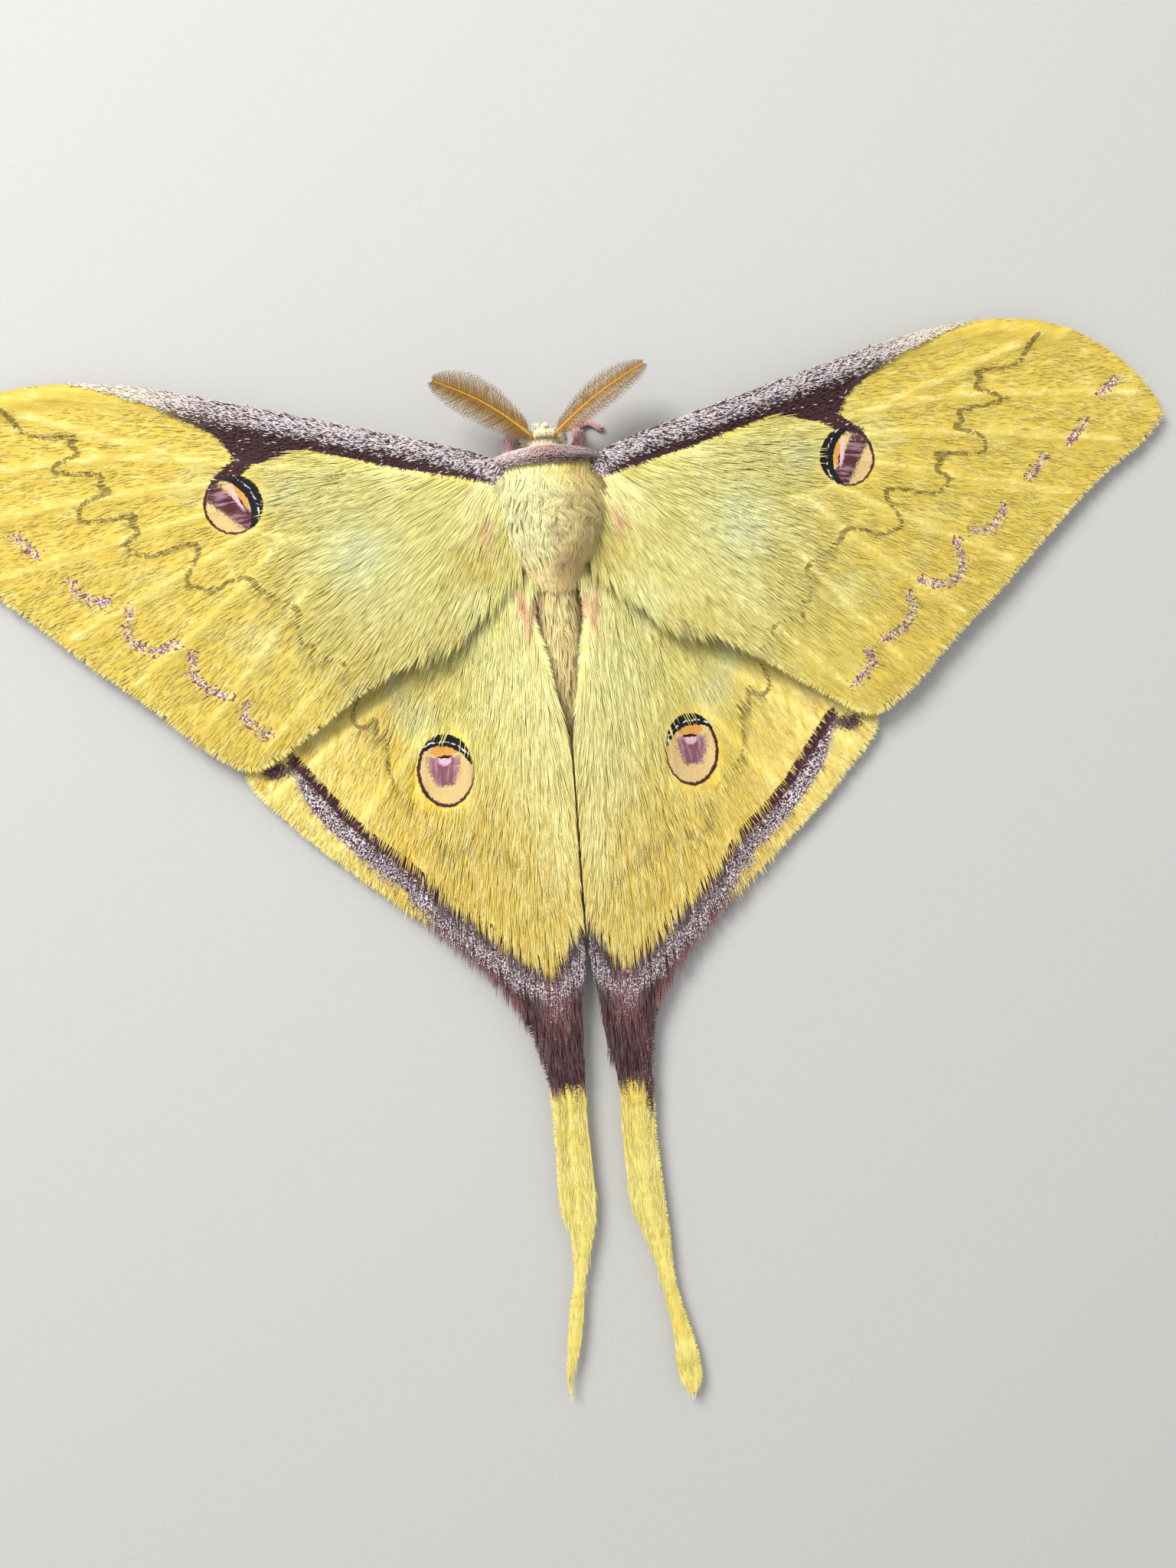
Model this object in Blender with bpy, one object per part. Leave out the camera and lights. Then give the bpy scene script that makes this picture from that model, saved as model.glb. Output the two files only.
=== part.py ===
"""A yellow moon moth at rest on its belly with its wings spread, life size, as solids.

Lengths are in millimetres until finish_node() turns each mesh to metres. The head looks
along -Y, the wings spread along X and the body's underside lies on the floor, Z = 0.
Each wing is drawn once as seen from above: `out` is the distance from the middle line
and `back` the distance towards the tail.
"""

import math
import random

import bmesh
import bpy
from mathutils import Matrix, Vector
from mathutils.geometry import delaunay_2d_cdt

MM = 0.001
GAP = 0.3
SIDES = {"left": 1, "right": -1}

# Wings: a sheet that slopes from its root down to just above the floor.
SHEET = 0.5
FORE_GRID = 4.6
HIND_GRID = 3.6
GRID_CLEAR = 1.2
MERGE = 0.06
FORE_ROOT = (4.8, -2.5)
FORE_REACH = 54.0
FORE_ROOT_TOP = 5.9
FORE_TIP_TOP = 1.2
FORE_SLOPE = 2.0
HIND_EDGE_TOP = 1.15
HIND_BULGE = 8.0
TAIL_CUT = 44.0
LEFT_FOREWING_TURN = math.radians(0.8)

# Outlines, as (out, back) points that the smooth edges pass through.
FORE_COSTA = [(2.5, -2.2), (2.9, -4.0), (4.9, -5.7), (8.0, -6.9), (16.2, -9.5), (24.4, -12.0),
              (32.7, -14.4), (41.1, -15.6), (47.5, -14.7), (52.5, -11.9), (55.7, -8.4), (56.5, -6.4)]
FORE_TERMEN = [(56.5, -6.4), (54.7, -4.3), (49.4, -0.5), (44.3, 4.1), (39.9, 8.2), (35.2, 12.3),
               (31.0, 16.3), (27.3, 18.4)]
FORE_DORSUM = [(27.3, 18.4), (23.2, 16.4), (18.0, 13.0), (13.2, 10.2), (9.2, 9.0), (6.2, 6.1), (2.6, 2.9)]
HIND_COSTA = [(1.2, 2.2), (8.0, 3.4), (14.0, 6.0), (20.0, 9.8), (25.0, 14.3), (27.6, 18.4)]
HIND_TERMEN = [(27.6, 18.4), (27.1, 20.4), (24.4, 23.4), (21.1, 26.7), (16.7, 30.5), (12.6, 33.9),
               (8.4, 38.0), (6.3, 41.0), (5.1, 44.2)]
HIND_INNER = [(0.95, 44.2), (0.8, 41.0), (0.35, 38.0), (0.35, 30.0), (0.35, 20.0), (0.8, 15.5),
              (1.9, 11.5), (2.6, 8.0), (2.3, 5.0), (1.2, 2.2)]
# Height of the hindwing over the abdomen, as (back, top).
HIND_CREST = [(0.0, 3.3), (3.0, 4.0), (5.5, 4.8), (8.0, 5.3), (14.0, 5.5), (18.0, 5.1), (22.0, 4.5),
              (26.0, 3.8), (30.0, 3.0), (36.0, 2.3), (44.0, 1.8), (60.0, 1.3), (77.0, 1.15)]
# Tails, as (back, out of the middle, half width): the left one has frayed to a point.
TAILS = {
    "right": [(43.6, 3.02, 2.15), (46.4, 3.2, 1.7), (49.5, 3.28, 1.42), (53.0, 3.2, 1.4),
              (57.0, 3.3, 1.48), (60.0, 3.5, 1.45), (62.5, 4.0, 1.1), (65.0, 4.45, 0.7),
              (68.0, 4.85, 0.6), (71.0, 5.45, 0.75), (74.0, 5.8, 1.0),
              (75.8, 5.95, 0.85), (76.8, 6.0, 0.25)],
    "left": [(43.6, 3.02, 2.15), (46.4, 2.75, 1.7), (49.0, 2.6, 1.45), (53.0, 2.6, 1.4),
             (58.0, 2.6, 1.55), (60.4, 2.6, 1.38), (61.4, 2.42, 1.05), (64.0, 2.75, 0.65),
             (66.0, 3.1, 0.42), (68.5, 3.55, 0.58), (71.5, 4.05, 0.52),
             (74.0, 4.6, 0.22), (75.6, 4.65, 0.08)],
}

# Veins, as (out, back) points: ridges on the upper face, highest along their middle.
VEIN_HALF = 0.36
VEIN_HEIGHT = 0.24
FORE_VEINS = [
    [(4.2, -4.0), (14.0, -5.4), (25.0, -7.2), (38.0, -9.0), (54.0, -8.2)],
    [(30.0, -8.1), (38.0, -11.2), (45.6, -13.9)],
    [(27.2, -5.9), (38.0, -5.6), (52.2, -4.0)],
    [(27.6, -3.8), (37.0, -1.8), (47.2, 0.4)],
    [(25.2, -1.6), (33.0, 2.2), (41.3, 6.0)],
    [(22.6, -0.7), (29.0, 4.9), (36.4, 10.4)],
    [(17.6, -0.5), (24.0, 7.0), (31.2, 15.0)],
    [(4.2, -2.2), (12.0, -0.9), (20.0, -0.5), (25.2, -1.6), (27.4, -4.0), (26.4, -7.0)],
    [(4.2, -1.0), (14.5, 6.3), (26.0, 16.9)],
]
HIND_VEINS = [
    [(3.2, 3.8), (14.0, 8.0), (21.0, 12.6), (26.2, 17.6)],
    [(3.4, 4.4), (12.0, 11.6), (18.6, 16.2), (25.2, 21.0)],
    [(9.6, 9.8), (13.0, 17.6), (20.2, 26.2)],
    [(12.0, 15.6), (13.2, 24.0), (13.4, 31.8)],
    [(3.2, 4.8), (8.0, 15.0), (9.0, 27.0), (7.2, 37.6)],
    [(3.1, 5.8), (5.2, 18.0), (4.9, 29.0), (3.7, 43.2)],
    [(2.9, 12.4), (1.9, 24.0), (1.7, 35.6)],
]
# The thick front edge of the forewing is a broad low roll just inside the outline.
ROLL_INSET = 1.0
ROLL_HALF = 0.9
ROLL_HEIGHT = 0.4

# Body cross-sections out to the tips of the coat, as (back, half width, top, bottom, coat).
THORAX = [(-6.2, 1.5, 4.2, 1.2, 0.1), (-5.2, 3.2, 6.4, 0.3, 0.6), (-3.8, 4.8, 7.9, -0.4, 0.85),
          (-1.5, 5.1, 8.6, -0.6, 0.85), (1.0, 4.6, 8.3, -0.6, 0.85), (3.2, 3.6, 7.2, -0.2, 0.8),
          (5.1, 2.5, 5.4, 0.6, 0.5)]
ABDOMEN = [(5.4, 2.1, 4.4, 0.6, 0.3), (7.5, 2.5, 4.5, -0.3, 0.5), (11.0, 2.7, 4.3, -0.4, 0.5),
           (15.0, 2.6, 3.9, -0.4, 0.5), (19.0, 2.4, 3.4, -0.3, 0.4), (23.0, 1.9, 2.8, -0.1, 0.4),
           (26.0, 1.3, 2.2, 0.2, 0.3), (27.8, 0.5, 1.7, 0.8, 0.1)]
BODY_SIDES = 16

# Locks of hair: flat, tapered, with their roots sunk in the core below the coat.
LOCK_SINK = 0.35
LOCK_THICK = 0.27
# Share of the length, of the full width and of the full thickness at each station.
LOCK_SHAPE = [(0.0, 0.75, 1.0), (0.36, 1.0, 1.0), (0.76, 0.68, 0.8)]
OVER_WINGS = 0.87
# Rows of locks on the thorax, as (back, how far they spread from the top in degrees).
THORAX_ROWS = [(-3.9, 44), (-2.8, 55), (-1.7, 57), (-0.4, 57), (1.1, 57), (2.6, 57)]
FLANK_LENGTH = 2.8
THORAX_LOCK = {"length": 3.4, "width": 0.74, "pitch": 1.5}
# Locks on the flanks below the wings, as (back, how high round the body, how far they swing).
FLANK_LOCKS = [(-6.0, 0.3, -0.4), (-5.2, 0.0, 0.0), (-3.2, -0.04, -0.04), (-1.2, -0.05, -0.1)]
ABDOMEN_ROWS = [5.8, 7.6, 9.4, 11.2, 13.0]
ABDOMEN_LOCK = {"length": 3.2, "width": 0.56, "pitch": 1.1}
# Long hair on the wings: where each lock starts on the forewing, and the rows on the hindwing.
FORE_HAIR = [(6.2, -2.2), (6.0, -0.5), (5.7, 1.2)]
FORE_HAIR_LOCK = {"way": (0.85, 0.52), "length": 5.0, "width": 0.9}
HIND_HAIR_ROWS = [7.6, 11.4, 15.2, 19.0]
HIND_HAIR_LOCK = {"way": (0.05, 1.0), "length": 6.0, "width": 0.95}
HIND_HAIR_INSET = 1.1
HIND_HAIR_STEP = (1.5, -1.2)
# Height of the middle of such a lock above the wing, from its root to its tip.
WING_HAIR_RISE = [(0.0, -0.22), (0.3, 0.12), (0.7, 0.22), (1.0, 0.42)]
WING_HAIR_THICK = 0.25

COLLAR_PATH = [(-4.9, -4.7, 4.9), (-3.3, -5.1, 6.0), (0.0, -5.4, 6.5), (3.3, -5.1, 6.0), (4.9, -4.7, 4.9)]
COLLAR_SIZE = [0.75, 1.0, 1.15, 1.0, 0.75]
COLLAR_SIDES = 10
COLLAR_COAT = 0.4
COLLAR_LOCKS = 8
COLLAR_LOCK_TURN = math.radians(105)
COLLAR_LOCK_WIDTH = 0.72
HEAD_CENTRE = Vector((0.0, -7.0, 3.1))
HEAD_SIZE = Vector((1.75, 1.35, 1.55))
HEAD_COAT = 0.28
FACE_ROWS = [44, 16, -12]
FACE_DROP = math.radians(38)
FACE_LOCK_WIDTH = 0.48
PALP_OUT = 0.42
# The cream tuft between the feelers, as the root and tip of each lock.
TUFT = [((-0.12, -7.2, 4.0), (-0.26, -7.75, 5.2)), ((0.12, -7.2, 4.0), (0.26, -7.75, 5.2)),
        ((0.0, -6.8, 4.0), (0.0, -7.3, 5.2))]
TUFT_LOCK = (0.22, 0.22)
PALP_LOCK = (0.32, 0.36)
PALP_ROOT = (-7.8, 2.2)
PALP_TIP = (-8.9, 2.1)
EYE_OUT = 1.35
EYE_CENTRE_BACK = -7.25
EYE_HEIGHT = 2.9
EYE_RADIUS = 0.82

# Feelers: base and tip of each shaft, its bow and the roll of its vane.
FEELERS = {
    "left": {"base": (1.15, -7.45, 4.9), "tip": (9.1, -12.4, 5.6), "bow": 0.5, "roll": 8.0},
    "right": {"base": (1.0, -7.45, 4.9), "tip": (8.9, -12.75, 5.6), "bow": 0.5, "roll": 40.0},
}
FEELER_SHAFT = 0.28
FEELER_TAPER = 0.4
FEELER_SIDES = 8
SCAPE = (0.95, -7.2, 3.85)
# Rays: pairs along the shaft, the share of it that carries them, and the longest one's reach.
FEELER_PAIRS = 11
RAY_SPAN = (0.09, 0.94)
RAY_REACH = 1.65
RAY_ROOT = 0.25
RAY_TIP = 0.09
RAY_LEAN = 0.6
RAY_DROP = 0.2

# Legs, as (out, back, height, radius) from the hip inside the body to the last claw.
LEG_SIDES = 6
LEGS = {
    "foreleg_right": [(1.6, -4.4, 1.6, 0.5), (3.2, -7.0, 2.6, 0.5), (3.1, -8.6, 0.85, 0.42),
                      (4.3, -9.1, 0.24, 0.29), (5.5, -8.5, 0.24, 0.27)],
    "foreleg_left": [(1.6, -4.4, 1.6, 0.5), (3.0, -6.6, 2.3, 0.5), (2.5, -8.3, 0.8, 0.42),
                     (2.4, -9.6, 0.24, 0.29), (2.8, -10.6, 0.24, 0.27)],
    "midleg": [(2.4, -2.2, 1.6, 0.5), (6.4, -3.8, 2.5, 0.5), (8.3, -4.9, 0.8, 0.42),
               (9.7, -5.3, 0.24, 0.29), (11.0, -5.2, 0.24, 0.27)],
    "hindleg": [(1.8, 1.6, 1.2, 0.5), (5.6, 3.4, 1.55, 0.48), (7.8, 6.0, 0.7, 0.4),
                (9.0, 8.0, 0.24, 0.29), (9.7, 9.4, 0.24, 0.27)],
}


def between(p, q, r, s, t):
    """The value at share t from q to r on a smooth curve through p, q, r and s."""
    bend = (2 * p - 5 * q + 4 * r - s) * t ** 2
    turn = (3 * q - p - 3 * r + s) * t ** 3
    return 0.5 * (2 * q + (r - p) * t + bend + turn)


def smooth(points, steps):
    """Points on a curve through the given ones, `steps` to each stretch between two."""
    rows = [points[0], *points, points[-1]]
    found = []
    for around in zip(rows, rows[1:], rows[2:], rows[3:]):
        for step in range(steps):
            found.append(tuple(between(*values, step / steps) for values in zip(*around)))
    found.append(tuple(points[-1]))
    return found


def read(table, key):
    """The other columns of a table of rows sorted by their first, read between rows."""
    if key <= table[0][0]:
        return table[0][1:]
    for low, high in zip(table, table[1:]):
        if key <= high[0]:
            share = (key - low[0]) / (high[0] - low[0])
            return tuple(a + (b - a) * share for a, b in zip(low[1:], high[1:]))
    return table[-1][1:]


def inside(point, outline):
    """True where a line from the point along +out crosses the outline an odd number of times."""
    crossings = 0
    for start, end in zip(outline, [*outline[1:], outline[0]]):
        if (start[1] > point[1]) != (end[1] > point[1]):
            share = (point[1] - start[1]) / (end[1] - start[1])
            crossings += point[0] < start[0] + (end[0] - start[0]) * share
    return crossings % 2 == 1


def distance(point, line):
    """How far a point lies from a line of (out, back) points."""
    nearest = math.inf
    for start, end in zip(line, line[1:]):
        run = (end[0] - start[0], end[1] - start[1])
        length = run[0] ** 2 + run[1] ** 2
        share = 0.0
        if length > 0:
            share = ((point[0] - start[0]) * run[0] + (point[1] - start[1]) * run[1]) / length
        share = min(1.0, max(0.0, share))
        nearest = min(nearest, math.hypot(point[0] - start[0] - share * run[0],
                                          point[1] - start[1] - share * run[1]))
    return nearest


def forewing_top(out, back):
    share = min(1.0, math.hypot(out - FORE_ROOT[0], back - FORE_ROOT[1]) / FORE_REACH)
    return FORE_TIP_TOP + (FORE_ROOT_TOP - FORE_TIP_TOP) * (1 - share) ** FORE_SLOPE


CREST = smooth(HIND_CREST, 4)


def hindwing_top(out, back):
    crest = read(CREST, back)[0]
    return HIND_EDGE_TOP + (crest - HIND_EDGE_TOP) * math.exp(-(out / HIND_BULGE) ** 2)


def solid(name, bm):
    """An object with the closed mesh of bm, its faces turned outwards."""
    bmesh.ops.recalc_face_normals(bm, faces=bm.faces)
    mesh = bpy.data.meshes.new(name)
    bm.to_mesh(mesh)
    bm.free()
    obj = bpy.data.objects.new(name, mesh)
    bpy.context.scene.collection.objects.link(obj)
    return obj


def apply_boolean(obj, operation, pieces):
    """Joins the pieces to the object or cuts them away, and removes them."""
    held = bpy.data.collections.new(obj.name + "_pieces")
    for piece in pieces:
        held.objects.link(piece)
    boolean = obj.modifiers.new("Boolean", "BOOLEAN")
    boolean.operation = operation
    boolean.operand_type = "COLLECTION"
    boolean.collection = held
    boolean.solver = "EXACT"
    bpy.context.view_layer.update()
    whole = bpy.data.meshes.new_from_object(obj.evaluated_get(bpy.context.evaluated_depsgraph_get()))
    obj.modifiers.clear()
    plain = obj.data
    obj.data = whole
    bpy.data.meshes.remove(plain)
    for piece in pieces:
        bpy.data.objects.remove(piece)
    bpy.data.collections.remove(held)
    keep_largest(obj)


def keep_largest(obj):
    """Leaves only the closed surface that holds most, so sealed hollows fill and scraps go."""
    bm = bmesh.new()
    bm.from_mesh(obj.data)
    bmesh.ops.triangulate(bm, faces=bm.faces)
    waiting = set(bm.faces)
    shells = []
    while waiting:
        shell = [waiting.pop()]
        for face in shell:
            near = {other for edge in face.edges for other in edge.link_faces} & waiting
            waiting -= near
            shell += near
        volume = sum(face.verts[0].co.dot(face.verts[1].co.cross(face.verts[2].co)) for face in shell)
        shells.append((volume, shell))
    shells.sort(key=lambda found: found[0])
    spare = [face for _, shell in shells[:-1] for face in shell]
    bmesh.ops.delete(bm, geom=spare, context="FACES")
    bm.to_mesh(obj.data)
    bm.free()


def loft(rings):
    """A closed surface through rings of equally many points, or one point at its tip."""
    bm = bmesh.new()
    rows = [[bm.verts.new(point) for point in ring] for ring in rings]
    bm.faces.new(rows[0])
    for low, high in zip(rows, rows[1:]):
        for i in range(len(low)):
            j = (i + 1) % len(low)
            if len(high) == 1:
                bm.faces.new((low[i], low[j], high[0]))
            else:
                bm.faces.new((low[i], low[j], high[j], high[i]))
    if len(rows[-1]) > 1:
        bm.faces.new(rows[-1])
    return bm


def body(stations, depth):
    """A long body through upright cross-sections, flat where it lies on the floor.

    A depth of 0 gives the tips of the coat, and 1 the core that its roots are sunk in.
    """
    rings = []
    for back, half_width, top, bottom, coat in smooth(stations, 2):
        top -= coat * depth
        middle = (top + bottom) / 2
        ring = []
        for side in range(BODY_SIDES):
            turn = math.tau * side / BODY_SIDES
            height = middle + (top - middle) * math.sin(turn)
            ring.append(((half_width - coat * depth) * math.cos(turn), back, max(0.0, height)))
        rings.append(ring)
    return loft(rings)


def clearance(bm):
    """A cutter that reaches past the closed mesh of bm by the gap, all round."""
    bmesh.ops.recalc_face_normals(bm, faces=bm.faces)
    bm.normal_update()
    for vert in bm.verts:
        vert.co += vert.normal * GAP
    return solid("clearance", bm)


def tube(rows, sides, floor=-10.0):
    """A round limb through rows of (x, y, z, radius), cut off flat at the floor."""
    rings = []
    for place, row in enumerate(rows):
        here = Vector(row[:3])
        along = Vector(rows[min(place + 1, len(rows) - 1)][:3]) - Vector(rows[max(place - 1, 0)][:3])
        across = along.cross(Vector((0, 0, 1))).normalized()
        up = across.cross(along).normalized()
        ring = []
        for side in range(sides):
            turn = math.tau * (side + 0.5) / sides
            point = here + row[3] * (across * math.cos(turn) + up * math.sin(turn))
            ring.append((point.x, point.y, max(floor, point.z)))
        rings.append(ring)
    return loft(rings)


def lock(path, width, thick=LOCK_THICK):
    """A flat tapered lock of hair along path(t), which gives each place and its outward way."""
    rings = []
    for t, wide, high in LOCK_SHAPE:
        here, out = path(t)
        ahead = path(t + 0.02)[0]
        across = (ahead - here).cross(out).normalized()
        up = across.cross(ahead - here).normalized()
        rings.append([here + across * width * wide, here + up * thick * high,
                      here - across * width * wide, here - up * thick * high])
    rings.append([path(1.0)[0]])
    return solid("lock", loft(rings))


def sunk(t, core):
    """Depth of a lock's middle line below the tips of a coat with this depth of core."""
    return read([(0.0, core + LOCK_SINK), (0.3, core * 0.62), (0.7, core * 0.3), (1.0, 0.0)], t)[0]


def wing(outline, lines, grid, top, lift):
    """A sheet over a flat outline, split alike above and below, with its height from top()."""
    filling = []
    border = [*outline, outline[0]]
    across = int((max(p[0] for p in outline) - min(p[0] for p in outline)) / grid) + 2
    along = int((max(p[1] for p in outline) - min(p[1] for p in outline)) / grid) + 2
    for i in range(across):
        for j in range(along):
            point = (min(p[0] for p in outline) + (i + 0.5 * (j % 2)) * grid,
                     min(p[1] for p in outline) + j * grid)
            clear = min(distance(point, line) for line in [*lines, border])
            if inside(point, outline) and clear > GRID_CLEAR:
                filling.append(point)
    flat = [Vector(point) for point in [*outline, *filling]]
    edges = []
    for line in lines:
        edges += [(len(flat) + k, len(flat) + k + 1) for k in range(len(line) - 1)]
        flat += [Vector(point) for point in line]
    found, _, triangles = delaunay_2d_cdt(flat, edges, [list(range(len(outline)))], 1, MERGE, False)[:3]
    triangles = [triangle for triangle in triangles
                 if inside(sum((found[corner] for corner in triangle), Vector((0, 0))) / 3, outline)]
    used = sorted({corner for triangle in triangles for corner in triangle})
    bm = bmesh.new()
    above = {}
    below = {}
    for corner in used:
        out, back = found[corner]
        above[corner] = bm.verts.new((out, back, top(out, back) + lift(out, back)))
        below[corner] = bm.verts.new((out, back, top(out, back) - SHEET))
    rim = set()
    for triangle in triangles:
        rim |= set(zip(triangle, [*triangle[1:], triangle[0]]))
        bm.faces.new([above[corner] for corner in triangle])
        bm.faces.new([below[corner] for corner in reversed(triangle)])
    for start, end in sorted(rim):
        if (end, start) not in rim:
            bm.faces.new((above[end], above[start], below[start]))
            bm.faces.new((above[end], below[start], below[end]))
    return bm


def beside(line, shift):
    """The line of (out, back) points moved sideways by this much."""
    moved = []
    for place, point in enumerate(line):
        ahead = line[min(place + 1, len(line) - 1)]
        behind = line[max(place - 1, 0)]
        length = math.hypot(ahead[0] - behind[0], ahead[1] - behind[1])
        moved.append((point[0] - shift * (ahead[1] - behind[1]) / length,
                      point[1] + shift * (ahead[0] - behind[0]) / length))
    return moved


def ridged(veins, roll=None):
    """Lines along the foot and crest of each ridge, and the function that gives its height."""
    crests = [smooth(vein, 2) for vein in veins]
    lines = []
    for crest in crests:
        lines += [crest, beside(crest, VEIN_HALF), beside(crest, -VEIN_HALF)]
    if roll:
        lines += [roll, beside(roll, ROLL_HALF)]

    def lift(out, back):
        rise = max(VEIN_HEIGHT * (1 - distance((out, back), crest) / VEIN_HALF) for crest in crests)
        if roll:
            rise = max(rise, ROLL_HEIGHT * (1 - distance((out, back), roll) / ROLL_HALF))
        return max(0.0, rise)

    return lines, lift


def turned(points, angle):
    """Points turned towards the tail about the wing's root."""
    found = []
    for out, back in points:
        x = out - FORE_ROOT[0]
        y = back - FORE_ROOT[1]
        found.append((FORE_ROOT[0] + x * math.cos(angle) - y * math.sin(angle),
                      FORE_ROOT[1] + x * math.sin(angle) + y * math.cos(angle)))
    return found


def mirrored(bm, side):
    bmesh.ops.scale(bm, verts=bm.verts, vec=(side, 1, 1))
    return bm


def core_clearance():
    return clearance(body(THORAX, 1))


def collar_tube(inset):
    rows = [(*place, size - inset) for place, size in zip(COLLAR_PATH, COLLAR_SIZE)]
    return tube(smooth(rows, 3), COLLAR_SIDES)


def coat_lock(table, back, turn, swing, length, width, lowest=None):
    """A lock on a body: from its root it runs back by its length while it swings round."""
    def path(t):
        here = back + length * t
        angle = turn + swing * t
        half_width, top, bottom, coat = read(table, here)
        depth = sunk(t, coat)
        middle = (top + bottom) / 2
        out = Vector((math.cos(angle) / half_width, 0.0, math.sin(angle) / (top - middle))).normalized()
        place = Vector(((half_width - depth) * math.cos(angle), here,
                        middle + (top - middle - depth) * math.sin(angle)))
        if lowest and t > 0.1 and place.z < lowest(abs(place.x), here):
            # Over a wing's root the lock lies flat.
            place.z = lowest(abs(place.x), here)
            out = Vector((out.x * 0.2, 0.0, 1.0)).normalized()
        return place, out
    return lock(path, width)


def over_wings(out, back):
    """The lowest that a lock's middle may lie to clear the wing roots under it."""
    return max(forewing_top(out, back), hindwing_top(out, back)) + OVER_WINGS


def make_thorax(finish_node):
    rng = random.Random(11)
    table = smooth(THORAX, 4)
    locks = []
    for back, spread in THORAX_ROWS:
        half_width, top, bottom = read(table, back)[:3]
        reach = math.radians(spread) * (half_width + (top - bottom) / 2) / 2
        count = max(3, round(2 * reach / THORAX_LOCK["pitch"]))
        for place in range(count):
            share = (place + 0.5) / count * 2 - 1
            turn = math.pi / 2 + math.radians(spread) * share
            # The hair parts along the middle in front and is drawn together behind.
            swing = math.radians(10) * share if back < 0 else math.radians(-26) * share
            length = THORAX_LOCK["length"] * rng.uniform(0.85, 1.12)
            locks.append(coat_lock(table, back + rng.uniform(-0.25, 0.25), turn + rng.uniform(-0.05, 0.05),
                                   swing + rng.uniform(-0.08, 0.08), min(length, 6.1 - back),
                                   THORAX_LOCK["width"] * rng.uniform(0.9, 1.1), over_wings))
    for back, turn, swing in FLANK_LOCKS:
        locks.append(coat_lock(table, back, turn, swing, FLANK_LENGTH, THORAX_LOCK["width"]))
        locks.append(coat_lock(table, back, math.pi - turn, -swing, FLANK_LENGTH, THORAX_LOCK["width"]))
    thorax = solid("thorax", body(THORAX, 1))
    apply_boolean(thorax, "UNION", locks)
    finish_node(thorax, (0, 0, 4), "fur")


def make_abdomen(finish_node):
    rng = random.Random(5)
    table = smooth(ABDOMEN, 4)
    inner = sorted((back, out) for out, back in smooth(HIND_INNER, 3))
    locks = []
    for row, back in enumerate(ABDOMEN_ROWS):
        half_width = read(table, back)[0]
        free = min(read(inner, back)[0] - 0.3, half_width * 0.8)
        count = max(1, round(2 * free / ABDOMEN_LOCK["pitch"]))
        for place in range(count):
            share = (place + 0.5) / count * 2 - 1
            turn = math.acos(-share * free / half_width)
            locks.append(coat_lock(table, back + rng.uniform(-0.2, 0.2), turn, rng.uniform(-0.06, 0.06),
                                   ABDOMEN_LOCK["length"] * rng.uniform(0.9, 1.1), ABDOMEN_LOCK["width"]))
    abdomen = solid("abdomen", body(ABDOMEN, 1))
    apply_boolean(abdomen, "UNION", locks)
    finish_node(abdomen, (0, 5.4, 2.6), "fur")


def make_collar(finish_node):
    rng = random.Random(3)
    line = smooth([(*place, size) for place, size in zip(COLLAR_PATH, COLLAR_SIZE)], 4)
    line = [(step / (len(line) - 1), *row) for step, row in enumerate(line)]
    locks = []
    for row, start in enumerate((-40, 15)):
        for place in range(COLLAR_LOCKS):
            # Every other row is set half a step over, and the locks splay towards the ends.
            share = 0.12 + 0.76 * (place + 0.5 * row) / (COLLAR_LOCKS - 0.5)
            drift = 0.08 * (share - 0.5) + rng.uniform(-0.03, 0.03)
            locks.append(collar_lock(line, share, math.radians(start + rng.uniform(-8, 8)), drift))
    collar = solid("collar", collar_tube(COLLAR_COAT))
    apply_boolean(collar, "UNION", locks)
    apply_boolean(collar, "DIFFERENCE", [core_clearance()])
    finish_node(collar, COLLAR_PATH[2], "mauve")


def collar_lock(line, share, turn, drift):
    """A short lock that starts on the front of the collar and curls up over its top."""
    def path(t):
        x, y, z, radius = read(line, share + drift * t)
        high = turn + COLLAR_LOCK_TURN * t
        out = Vector((0.1 * x / COLLAR_PATH[-1][0], -math.cos(high), math.sin(high))).normalized()
        return Vector((x, y, z)) + out * (radius - sunk(t, COLLAR_COAT)), out
    return lock(path, COLLAR_LOCK_WIDTH)


def head_lock(turn, rise):
    """A short lock on the face, from high on the head forwards and down."""
    def path(t):
        high = rise - FACE_DROP * t
        out = Vector((math.cos(high) * math.sin(turn), -math.cos(high) * math.cos(turn), math.sin(high)))
        size = HEAD_SIZE - Vector((1, 1, 1)) * sunk(t, HEAD_COAT)
        return HEAD_CENTRE + Vector(a * b for a, b in zip(out, size)), out
    return lock(path, FACE_LOCK_WIDTH)


def straight_lock(start, end, width, thick):
    """A lock from one place to another with a slight bend down."""
    def path(t):
        here = Vector(start).lerp(Vector(end), t)
        return here + Vector((0, 0, 0.12)) * math.sin(math.pi * t), Vector((0, 0, 1))
    return lock(path, width, thick)


def skull():
    bm = bmesh.new()
    bmesh.ops.create_uvsphere(bm, u_segments=14, v_segments=9, radius=1.0)
    bmesh.ops.scale(bm, verts=bm.verts, vec=HEAD_SIZE - Vector((1, 1, 1)) * HEAD_COAT)
    bmesh.ops.translate(bm, verts=bm.verts, vec=HEAD_CENTRE)
    return bm


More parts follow.
